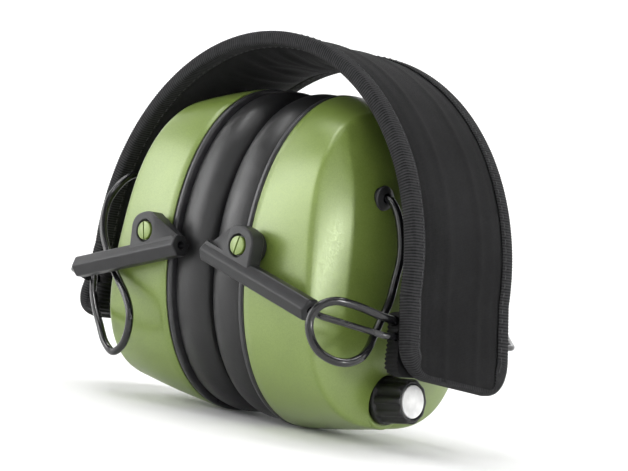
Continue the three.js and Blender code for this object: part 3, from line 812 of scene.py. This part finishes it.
def tape_reach(s, y, out_s):
    """Share of the tape's full width: it dies out along the ends, where the cover is only turned under."""
    if out_s == 0:
        return 1.0
    turned_under = smooth_step((abs(out_s) - 0.55) / 0.4)
    rear_wrap = smooth_step((y - 6) / 12) if s < BAND_LENGTH / 2 else smooth_step((-y - 4) / 12)
    return 1 - 0.72 * turned_under * (1 - rear_wrap * (1 - abs(out_s)) * 2)


def build_binding():
    """Ribbed elastic tape folded round the whole edge of the band; the ribs are real relief."""
    rings, uv = [], []
    travelled = 0.0
    step = RIB_PERIOD / len(RIB_SHAPE)
    for i, (s, y, out_s, out_y) in enumerate(perimeter(0, step)):
        relief = RIB_RELIEF * RIB_SHAPE[i % len(RIB_SHAPE)] - RIB_RELIEF
        wander = 0.25 * noise.noise(Vector((s / 12, y / 12, 4.4)))
        reach = tape_reach(s, y, out_s)
        ring = []
        for inward, depth in TAPE_SECTION:
            shifted = inward * lerp(1, reach, smooth_step((inward - 1) / 4))
            if inward > 4:
                shifted += wander * reach
            if inward < 0.5:
                shifted -= relief
            lift = 0
            if inward > 0.2 and depth < 0.5:
                lift = -relief
            elif inward > 0.2 and depth > 4.4:
                lift = relief
            ring.append(band_point(s - out_s * shifted, y - out_y * shifted, depth + lift))
        rings.append(ring)
        uv.append([((inward + depth) * MM, travelled * MM) for inward, depth in TAPE_SECTION])
        travelled += step
    piece = loft("headband_binding_tape", rings, closed_path=True, uv=uv)
    finish_piece(piece, TAPE, "headband",
                 ["binding_front", "binding_rear", "binding_end_right", "binding_end_left"], angle=70)


STITCH_LENGTH = 2.0
STITCH_PITCH = 2.9
STITCH_RADIUS = 0.2


def build_stitches():
    """One row of lockstitch on each side of the band, sunk into the tape near its inner edge."""
    points, faces = [], []
    for s, y, out_s, out_y in perimeter(4.7, STITCH_PITCH):
        if tape_reach(s, y, out_s) < 0.9:
            continue
        for depth, side in ((0.02, -1), (4.98, 1)):
            base = len(points)
            for t in (0, 0.25, 0.5, 0.75, 1):
                reach = (t - 0.5) * STITCH_LENGTH
                thick = STITCH_RADIUS * sin(pi * min(0.94, max(0.06, t))) ** 0.5
                rise = depth + side * (0.05 - 0.25 * (2 * t - 1) ** 2)
                centre = (s - out_y * reach, y + out_s * reach)
                for angle in turns(6):
                    spread = thick * cos(angle)
                    points.append(band_point(centre[0] + out_s * spread, centre[1] + out_y * spread,
                                             rise + thick * sin(angle)))
            for k in range(4):
                for j in range(6):
                    a = base + 6 * k + j
                    b = base + 6 * k + (j + 1) % 6
                    faces.append((a, b, b + 6, a + 6))
            faces.append(tuple(base + j for j in range(6)))
            faces.append(tuple(base + 29 - j for j in range(6)))
    piece = mesh_object("headband_stitches", points, faces)
    finish_piece(piece, THREAD, "headband", angle=70)


def rounded(radius, from_end):
    """How far a surface is drawn in by a rounded edge, at a distance from the end."""
    return radius * (1 - math.sqrt(1 - (1 - min(1, from_end / radius)) ** 2))


def build_hinge_block(word, side):
    """Hinge block at a band end: rounded, with fine ribs along its sides, stepped over the tape's lip."""
    normal = Vector((-1, -LEG_SPLAY)).normalized()
    low, step, high = -30.6, -27.5, -10.5
    half, tongue, far, corner = 25.5, 19.8, 11.2, 2.6
    levels = [lerp(low, high, i / 84) for i in range(85)]
    rings = []
    for z in sorted(levels + [step, step + 0.01]):
        shrink = max(rounded(3.4, z - low), rounded(1.6, high - z))
        ridge = 0.17 * (cos(2 * pi * (z - low) / 1.4) - 1)
        near, reach = 5.3, (3.6 if z > step else 5.3)
        deep = far - shrink + ridge + 0.8 * smooth_step((-18 - z) / 8)
        wide = half - shrink + ridge
        section = [(-tongue, reach), (-tongue, near), (-wide, near)]
        for sign, order in ((-1, (0, 1, 2, 3)), (1, (3, 2, 1, 0))):
            for turn in order:
                angle = pi / 2 * turn / 3
                section.append((sign * (wide - corner + corner * cos(angle)),
                                deep - corner + corner * sin(angle)))
        section += [(wide, near), (tongue, near), (tongue, reach)]
        x = BAND_HALF_SPAN + LEG_SPLAY * (BAND_SPRINGING - z) + end_flare(side, z)
        rings.append([at(side * (x + normal.x * d), y, z + normal.y * d) for y, d in section])
    piece = loft(f"hinge_block_{word}_ribbed", rings)
    for far_end, radius, (x, z) in ((-16.8, 1.8, CABLE_HOLE), (30, 1.4, (HINGE_X, HINGE_Z))):
        hole = turned("cutter", [(-30, radius), (far_end, radius)], (side * x, z), axis="Y", segments=24)
        cut(piece, hole)
    finish_piece(piece, BLOCK, "headband", [f"hinge_block_{word}"], angle=50)


build_cover()
build_lining()
build_binding()
build_stitches()
for word, side in SIDES.items():
    build_hinge_block(word, side)


# ---------- Cups ----------
def oval(angle, half_width, half_height, power):
    """Place on a superellipse."""
    c, s = cos(angle), sin(angle)
    return (half_width * math.copysign(abs(c) ** (2 / power), c),
            half_height * math.copysign(abs(s) ** (2 / power), s))


def half_turns(count):
    """Angles of equal steps once round a circle, starting half a step in."""
    return [2 * pi * (i + 0.5) / count for i in range(count)]


CUP_ANGLES = half_turns(160)


def wall_point(angle, t, inset):
    """Place on the cup's side wall, from the rim at t 0 to the crease at t 1."""
    y0, z0 = oval(angle, CUP_HALF_WIDTH - inset, CUP_HALF_HEIGHT - inset, CUP_POWER)
    y1, z1 = oval(angle, CREASE_HALF_WIDTH - inset, CREASE_HALF_HEIGHT - inset, CREASE_POWER)
    edge = CREASE_X - CREASE_LEAN * z1 / CREASE_HALF_HEIGHT - inset * 0.7
    bulge = 0.9 * sin(pi * t)
    return Vector((lerp(SHELL_RIM, edge, t), lerp(y0, y1, t) * (1 + bulge / CUP_HALF_WIDTH / 2),
                   lerp(z0, z1, t) * (1 + bulge / CUP_HALF_HEIGHT / 2)))


def face_point(angle, t, inset):
    """Place on the cup's domed face, from the crease at t 1 to the apex at t 0."""
    crease = wall_point(angle, 1, inset)
    apex = SHELL_APEX - inset
    return Vector((crease.x + (apex - crease.x) * (1 - t**DOME_POWER), crease.y * t, crease.z * t))


def shell_rings(inset, side):
    """Rings from the rim to near the apex, with the crease rounded."""
    rings = []
    for t in (0, 0.015, 0.12, 0.25, 0.4, 0.55, 0.7, 0.82, 0.9, 0.95):
        rings.append([wall_point(a, t, inset) for a in CUP_ANGLES])
    if inset == 0:
        rings[0] = [Vector((p.x, p.y * 0.994, p.z * 0.996)) for p in rings[0]]
    for t in (0.25, 0.5, 0.75):
        ring = []
        for a in CUP_ANGLES:
            p, q, r = wall_point(a, 0.95, inset), wall_point(a, 1, inset), face_point(a, 0.97, inset)
            ring.append((1 - t) ** 2 * p + 2 * t * (1 - t) * q + t * t * r)
        rings.append(ring)
    for t in (0.97, 0.93, 0.87, 0.8, 0.72, 0.63, 0.53, 0.43, 0.33, 0.23, 0.14, 0.06):
        rings.append([face_point(a, t, inset) for a in CUP_ANGLES])
    return [[at(side * p.x, p.y, p.z) for p in ring] for ring in rings]


def pin_centre(side):
    """Place, along X and Z, of the axis that a cup turns on."""
    return (side * (HINGE_X - PIN_U * cos(ARM_RISE) + PIN_N * sin(ARM_RISE)),
            HINGE_Z + PIN_U * sin(ARM_RISE) + PIN_N * cos(ARM_RISE))


def build_shell(word, side):
    """Hollow shell with its bores; the right one has the knob's collar and the left one the battery bay."""
    outer = shell_rings(0, side)
    inner = shell_rings(SHELL_WALL, side)
    piece = loft(f"cup_shell_{word}_moulding", inner[::-1] + outer)
    cutters = [
        turned("cutter", [(-60, 2.5), (60, 2.5)], pin_centre(side), axis="Y", segments=24),
        turned("cutter", [(40, 3.4), (64, 3.4)], GROMMET[1:], sign=side, segments=32),
        turned("cutter", [(34, MICROPHONE[2] + 0.3), (64, MICROPHONE[2] + 0.3)], MICROPHONE[:2], sign=side,
               segments=32),
    ]
    if side > 0:
        collar = turned("collar", [(45.5, 9.8), (50.3, 9.8), (50.75, 9.65), (50.95, 9.35), (50.95, 8.6)],
                        None, axis="knob", segments=72)
        combine(piece, collar, "UNION")
        for near, far, radius, segments in ((50.3, 64, 8.6, 72), (40, 54, 3.7, 40)):
            cutters.append(turned("cutter", [(near, radius), (far, radius)], None, axis="knob",
                                  segments=segments))
    else:
        combine(piece, block("door_frame", (-50.6, -16, -46), (-46.4, 16, 8)), "UNION")
        cutters.append(block("cutter", (-64, -13.8, -76), (-50.2, 13.8, 5.3)))
        cutters.append(block("cutter", (-54, -11.6, -42), (-40, 11.6, 3.5)))
    cut(piece, *cutters)
    finish_piece(piece, GREEN, f"{word}_cup", [f"cup_shell_{word}"], angle=38)


def oval_rings(profile, side, angles=CUP_ANGLES, relief=None):
    """Rings of an oval piece: profile points are (x, inset from the cup's outline)."""
    rings = []
    for j, (x, inset) in enumerate(profile):
        ring = []
        for angle in angles:
            extra = relief(angle, j / (len(profile) - 1)) if relief else 0
            y, z = oval(angle, CUP_HALF_WIDTH - inset - extra, CUP_HALF_HEIGHT - inset - extra, CUP_POWER)
            ring.append(at(side * x, y, z))
        rings.append(ring)
    return rings


def build_base_ring(word, side):
    """Ring that carries the cushion, with a groove and a thin bead next to the shell."""
    profile = [(13.6, 4.6), (13.7, 4.4), (15.9, 4.4), (16.0, 4.2), (16.02, 0.9), (16.15, 0.4), (16.4, 0.12),
               (16.8, 0.0), (17.5, 0.0), (17.75, 0.15), (17.85, 0.55), (17.98, 0.55), (18.1, 0.15),
               (18.3, 0.25), (18.4, 0.8), (18.4, 20), (13.6, 20)]
    piece = loft(f"base_ring_{word}_moulding", oval_rings(profile, side), closed_path=True)
    finish_piece(piece, RING, f"{word}_cup", [f"base_ring_{word}"], angle=45)


def cushion_profile():
    """Section of a cushion: a full roll, pulled over the ring and flat where the other cushion presses."""
    points = []
    for i in range(29):
        angle = pi * (i / 28)
        x = 8.15 - 7.75 * cos(angle)
        inset = 0.2 + (6.4 if x < 8.15 else 3.1) * (1 - sin(angle) ** 0.95)
        points.append((x, inset))
    points += [(15.7, 3.7), (15.2, 4.0), (13.6, 4.0), (13.3, 4.6), (13.3, 7.5), (13.3, 12), (13.3, 16.5)]
    for i in range(13):
        angle = pi * (i / 12)
        x = 6.9 + 6.3 * cos(angle)
        points.append((x, 16.3 + 1.6 * sin(angle) ** 0.7))
    points += [(0.35, 13), (0.3, 10), (0.35, 7.5)]
    return points


def build_cushion(word, side):
    seed = 2.5 if side > 0 else 7.5

    def relief(angle, t):
        around = Vector((cos(angle) * 2.2, sin(angle) * 2.2, seed + t * 0.6))
        wrinkle = noise.noise(Vector((cos(angle) * 11, sin(angle) * 11, seed + t * 2)))
        flattened = 0.7 * max(0.0, -sin(angle)) ** 6
        return flattened + 0.2 * noise.noise(around) + 0.1 * abs(wrinkle)

    rings = oval_rings(cushion_profile(), side, half_turns(220), relief)
    piece = loft(f"ear_cushion_{word}_skin", rings, closed_path=True)
    finish_piece(piece, VINYL, f"{word}_cup", [f"ear_cushion_{word}"], angle=60)


def build_foam_insert(word, side):
    """Foam disc inside the cushion, with soft rounded edges and a slack face."""
    rings = []
    profile = [(21.2, 20.5, 0), (14.6, 20.5, 0), (13.8, 21.2, 0), (13.6, 22.6, 0), (13.7, 26, 0.1),
               (13.8, 30, 0.3), (13.9, 35, 0.5), (14.0, 39.5, 0.6)]
    for x, inset, dip in profile:
        ring = []
        for angle in CUP_ANGLES:
            y, z = oval(angle, CUP_HALF_WIDTH - inset, CUP_HALF_HEIGHT - inset, CUP_POWER)
            wave = dip * noise.noise(Vector((y / 7, z / 7, side)))
            ring.append(at(side * (x + abs(wave)), y, z))
        rings.append(ring)
    piece = loft(f"foam_insert_{word}_disc", rings)
    finish_piece(piece, FOAM, f"{word}_cup", [f"foam_insert_{word}"], angle=60)


for word, side in SIDES.items():
    build_shell(word, side)
    build_base_ring(word, side)
    build_cushion(word, side)
    build_foam_insert(word, side)


# ---------- Arms ----------
TUBE_V = 48.4
TUBE_START = 16.6
TUBE_END = 67.3
EAR_HALF = 2.8
EAR_RADIUS = 6.4
EAR_POWER = 2.5
# How far from the band's middle the outer face of an ear is.
EAR_FACE = TUBE_V + EAR_HALF


def arm_basis(side):
    """Turns the arm's own frame (along, across, up, in millimetres from the hinge) into the frame."""
    c, s = cos(ARM_RISE), sin(ARM_RISE)
    along = Vector((-side * c, 0, s))
    up = Vector((side * s, 0, c))
    across = up.cross(along)
    turn = Matrix((along, across, up)).transposed()
    origin = Vector((side * HINGE_X, 0, HINGE_Z))
    return lambda u, v, n: at(*(origin + turn @ Vector((u, v, n))))


def build_wire(word, side):
    """Spring wire: both legs and the cross-piece that is the hinge axle, bent with small round corners."""
    put = arm_basis(side)
    corners = [Vector((u, side * v, 0)) for u, v in ((52, TUBE_V), (13, TUBE_V), (0, 30), (0, -36.5),
                                                     (13, -TUBE_V), (52, -TUBE_V))]
    path = [corners[0]]
    for before, corner, after in zip(corners, corners[1:], corners[2:]):
        path += rounded_corner(before, corner, after, 2.1, [i / 10 for i in range(11)])
    path.append(corners[-1])
    rings = tube_rings([put(*p) for p in path], WIRE_RADIUS * MM, 20)
    piece = loft(f"yoke_wire_{word}_painted", rings)
    finish_piece(piece, WIRE, f"{word}_yoke", [f"yoke_wire_{word}"], angle=50)


def hexagon(radius):
    """Places (v, n) round a hexagon with flats above and below, its corners rounded."""
    corners = [Vector((radius * cos(a), radius * sin(a))) for a in (pi / 3 * i for i in range(6))]
    places = []
    for i, corner in enumerate(corners):
        places += rounded_corner(corners[i - 1], corner, corners[(i + 1) % 6], 0.55, (0, 0.33, 0.67, 1))
    return places


def ear_outline(inset):
    """Places (u, n) round the pivot ear, inset from its edge."""
    radius = EAR_RADIUS - inset
    places = [(PIN_U - EAR_RADIUS - 2 + inset, -1)]
    for i in range(17):
        angle = pi * lerp(0.93, 0.3, i / 16)
        c, s = cos(angle), sin(angle)
        reach = radius / (abs(c) ** EAR_POWER + abs(s) ** EAR_POWER) ** (1 / EAR_POWER)
        places.append((PIN_U + reach * c, PIN_N + reach * s))
    end = TUBE_END - 0.3 - inset * 0.6
    return places + [(end, 2.66 - inset * 0.7), (end, -1)]


def bevelled(low, high, edge):
    """Places from low to high with their insets, where edge lists (distance from the end, inset)."""
    return [(low + d, inset) for d, inset in edge] + [(high - d, inset) for d, inset in edge[::-1]]


def on_pivot(name, profile, side, end, segments):
    """Piece turned about a cup's pivot axis, at its front or rear end."""
    sign = 1 if end == "rear" else -1
    return turned(name, profile, pin_centre(side), axis="Y", segments=segments, sign=sign)


def build_slider(word, side, end):
    """Hexagonal tube with its pivot ear: a bevelled plate, cut away to a facet towards the tube's end."""
    put = arm_basis(side)
    out = side if end == "front" else -side
    radius = 7 / math.sqrt(3)
    tube = [[put(u, out * TUBE_V + v, n) for v, n in hexagon(radius - inset)]
            for u, inset in bevelled(TUBE_START, TUBE_END, [(0, 0.55), (0.12, 0.25), (0.5, 0)])]
    piece = loft(f"slider_{end}_{word}_moulding", tube)
    plate = [[put(u, out * (TUBE_V + v), n) for u, n in ear_outline(inset)]
             for v, inset in bevelled(-EAR_HALF, EAR_HALF, [(0, 0.5), (0.15, 0.2), (0.5, 0)])]
    combine(piece, loft("plate", plate), "UNION")
    wedge = [(57.6, EAR_HALF + 0.02), (57.6, 6), (70, 6), (70, -1.2)]
    facet = [[put(u, out * (TUBE_V + v), n) for u, v in wedge] for n in (3.3, 16)]
    bore = [[put(u, out * TUBE_V + 1.5 * cos(a), 1.5 * sin(a)) for a in turns(24)]
            for u in (TUBE_START - 1, TUBE_END + 1)]
    seat = [(40, 2.5), (EAR_FACE - 1.5, 2.5), (EAR_FACE - 1.5, 3.6), (EAR_FACE - 0.35, 3.65),
            (EAR_FACE + 0.3, 4.2)]
    cut(piece, loft("cutter", facet), loft("cutter", bore), on_pivot("cutter", seat, side, end, 40))
    finish_piece(piece, GREY, f"{word}_sliders", [f"slider_{end}_{word}"], angle=24)


def build_pin(word, side, end):
    """Pivot pin with a round head that has a screwdriver slot."""
    profile = [(37.6, 0), (37.6, 1.9), (37.9, 2.2), (EAR_FACE - 1.3, 2.2), (EAR_FACE - 1.3, 3.05),
               (EAR_FACE - 0.15, 3.08), (EAR_FACE + 0.12, 2.95), (EAR_FACE + 0.25, 2.6),
               (EAR_FACE + 0.3, 0)]
    piece = on_pivot(f"pivot_pin_{end}_{word}_turned", profile, side, end, 40)
    put = arm_basis(side)
    out = side if end == "front" else -side
    low, high = EAR_FACE - 0.2, EAR_FACE + 2
    section = [(-0.3, low), (-0.3, high), (0.3, high), (0.3, low)]
    slot = [[put(PIN_U + u, out * v, PIN_N + n) for u, v in section] for n in (-4, 4)]
    cut(piece, loft("cutter", slot))
    finish_piece(piece, GREEN, f"{word}_cup", [f"pivot_pin_{end}_{word}"], angle=35)


def build_washer(word, side, end):
    """Flanged spacer between the ear and the shell."""
    profile = [(42.95, 2.5), (42.95, 5.2), (43.2, 5.4), (44.65, 5.4), (44.9, 5.2), (44.9, 3.8), (45.3, 3.5),
               (45.3, 2.5), (42.95, 2.5)]
    piece = on_pivot(f"pivot_washer_{end}_{word}_turned", profile, side, end, 48)
    finish_piece(piece, BLACK, f"{word}_cup", [f"pivot_washer_{end}_{word}"], angle=35)


for word, side in SIDES.items():
    build_wire(word, side)
    for end in ("front", "rear"):
        build_slider(word, side, end)
        build_pin(word, side, end)
        build_washer(word, side, end)
        refined(f"pivot_clip_{end}_{word}", STEEL, f"{word}_cup", bevel=0.12)


# ---------- Volume knob, battery door and small parts ----------
FLUTES = 10
FLUTE_DEPTH = 0.95


def build_knob():
    """Fluted knob on a round skirt, with a seat for its end disc."""
    # Place along the axis, radius, and how deep the flutes are there, as a share.
    profile = [(50.7, 7.7, 0), (50.75, 7.95, 0), (51.0, 8.05, 0), (52.6, 8.05, 0), (52.9, 7.95, 0),
               (53.1, 7.8, 0.3), (53.5, 7.8, 0.85), (54.2, 7.8, 1), (58, 7.72, 1), (61.8, 7.65, 1),
               (62.6, 7.5, 0.9), (63.1, 7.2, 0.6), (63.35, 6.8, 0.2), (63.4, 6.5, 0), (63.38, 6.1, 0),
               (63.2, 5.9, 0), (62.2, 5.9, 0), (62.2, 3.6, 0), (50.7, 3.6, 0)]
    rings = []
    for x, radius, flute in profile:
        ring = []
        for angle in turns(240):
            wave = cos(angle * FLUTES)
            groove = 0.5 - 0.5 * math.copysign(abs(wave) ** 0.55, wave)
            r = radius - FLUTE_DEPTH * flute * groove
            ring.append(knob_point(x, r * cos(angle), r * sin(angle)))
        rings.append(ring)
    piece = loft("volume_knob_fluted", rings, closed_path=True)
    finish_piece(piece, BLACK, "volume_knob", ["volume_knob"], angle=40)


def build_knob_disc():
    """White disc that is slightly domed, in the knob's end."""
    profile = [(62.3, 0), (62.3, 5.4), (63.3, 5.45), (63.55, 5.3), (63.66, 4.9), (63.68, 3), (63.69, 0)]
    piece = turned("volume_knob_disc", profile, None, axis="knob", segments=72)
    finish_piece(piece, WHITE, "volume_knob", ["volume_knob_cap"], angle=30)


def build_grommet(word, side):
    """Flanged bush that the cable comes out of."""
    x, y, z = GROMMET
    profile = [(x - 3.5, 1.7), (x - 3.5, 3.1), (x + 0.2, 3.1), (x + 0.35, 3.9), (x + 0.8, 4.15),
               (x + 1.4, 3.9), (x + 1.8, 2.9), (x + 2.0, 2.3), (x + 2.0, 1.7), (x - 3.5, 1.7)]
    piece = turned(f"cable_grommet_{word}_bush", profile, (y, z), sign=side, segments=48)
    finish_piece(piece, RUBBER, f"{word}_cup", [f"cable_grommet_{word}"], angle=45)


def build_microphone(word, side):
    """Microphone cap: a shallow dish with a ring of small holes."""
    y, z, radius = MICROPHONE
    profile = [(45, 0), (45, radius), (51.9, radius), (52.3, 3.7), (52.4, 3.2), (52.2, 2.9), (51.9, 2.7),
               (51.8, 0)]
    piece = turned(f"microphone_{word}_cap", profile, (y, z), sign=side, segments=48)
    for ring, count in ((0.0, 1), (1.1, 6), (2.0, 12)):
        for angle in turns(count):
            place = (y + ring * cos(angle), z + ring * sin(angle))
            cut(piece, turned("cutter", [(51, 0.28), (53, 0.28)], place, sign=side, segments=10))
    finish_piece(piece, BLACK, f"{word}_cup", [f"microphone_{word}"], angle=40)


build_knob()
build_knob_disc()
for word, side in SIDES.items():
    build_grommet(word, side)
    build_microphone(word, side)
refined("battery_door", GREEN, "battery_door", bevel=0.3, segments=3)


# CAD nodes inside the object that keep their own mesh, with their materials.
INNER_PARTS = [
    (BLACK, "black_plastic", ("speaker_right", "speaker_left", "battery_holder")),
    (STEEL, "steel", ("headband_spring", "volume_potentiometer", "volume_shaft")),
    (BOARD, "circuit_board", ("circuit_board",)),
    (CELLS, "cell_wrap", ("battery_front", "battery_rear")),
]


def dress_inner_parts():
    """Gives each hidden CAD node its material."""
    for look, slot, nodes in INNER_PARTS:
        for node in nodes:
            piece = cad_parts[node]
            piece.data.materials.clear()
            piece.data.materials.append(look)


dress_inner_parts()


# ---------- Floor and light ----------
def build_floor():
    """Pale floor that curves up far away all round, so that no horizon shows. Its sizes are in metres."""
    flat, curve = 1.6, 1.2
    profile = [(0.02, 0), (0.3, 0), (0.8, 0), (flat, 0)]
    for i in range(1, 13):
        angle = pi / 2 * i / 12
        profile.append((flat + curve * sin(angle), curve * (1 - cos(angle))))
    profile.append((2.8, 2.4))
    segments = 96
    points = [(r * cos(a), r * sin(a), z) for r, z in profile for a in turns(segments)]
    faces = [tuple(range(segments))]
    for i in range(len(profile) - 1):
        a, b = i * segments, (i + 1) * segments
        for j in range(segments):
            k = (j + 1) % segments
            faces.append((a + j, a + k, b + k, b + j))
    mesh = bpy.data.meshes.new("floor")
    mesh.from_pydata(points, [], faces)
    floor = bpy.data.objects.new("floor", mesh)
    floor.location.z = -0.0002
    bpy.context.scene.collection.objects.link(floor)
    mesh.materials.append(floor_look())
    shade(floor, 80)


def area_light(name, place, aim, size, power):
    """Rectangular lamp at a place, turned towards another; size is in metres and power in watts."""
    data = bpy.data.lights.new(name, "AREA")
    data.shape = "RECTANGLE"
    data.size, data.size_y = size
    data.energy = power
    light = bpy.data.objects.new(name, data)
    light.location = place
    light.rotation_mode = "QUATERNION"
    light.rotation_quaternion = (Vector(aim) - Vector(place)).to_track_quat("-Z", "Y")
    bpy.context.scene.collection.objects.link(light)


def build_light():
    """Large soft box at the left with a weak fill nearer the camera, a narrow one at the right, one
    above the left and a background that is lit more strongly behind the object."""
    middle = at(0, 0, 5)
    area_light("key", (-0.98, -0.94, 0.42), middle, (0.65, 1.0), 9.3)
    area_light("fill", (-0.5, -1.25, 0.3), middle, (0.4, 0.6), 1.4)
    area_light("side", (1.3, 0.05, 0.31), middle, (0.09, 0.24), 4.8)
    area_light("top", (-0.35, -0.2, 1.5), middle, (1.2, 1.0), 5.5)
    for i, power in enumerate((12, 24, 24, 24, 12, 12)):
        c, s = cos(pi / 3 * i), sin(pi / 3 * i)
        area_light(f"background_{i}", (1.1 * c, 1.1 * s, 2.3), (2.9 * c, 2.9 * s, 0.6), (1.0, 0.5), power)
    world = bpy.data.worlds.new("studio")
    world.use_nodes = True
    world.node_tree.nodes["Background"].inputs["Color"].default_value = (1, 1, 1, 1)
    world.node_tree.nodes["Background"].inputs["Strength"].default_value = 0.2
    bpy.context.scene.world = world
    bpy.context.scene.view_settings.view_transform = "Standard"


build_floor()
build_light()
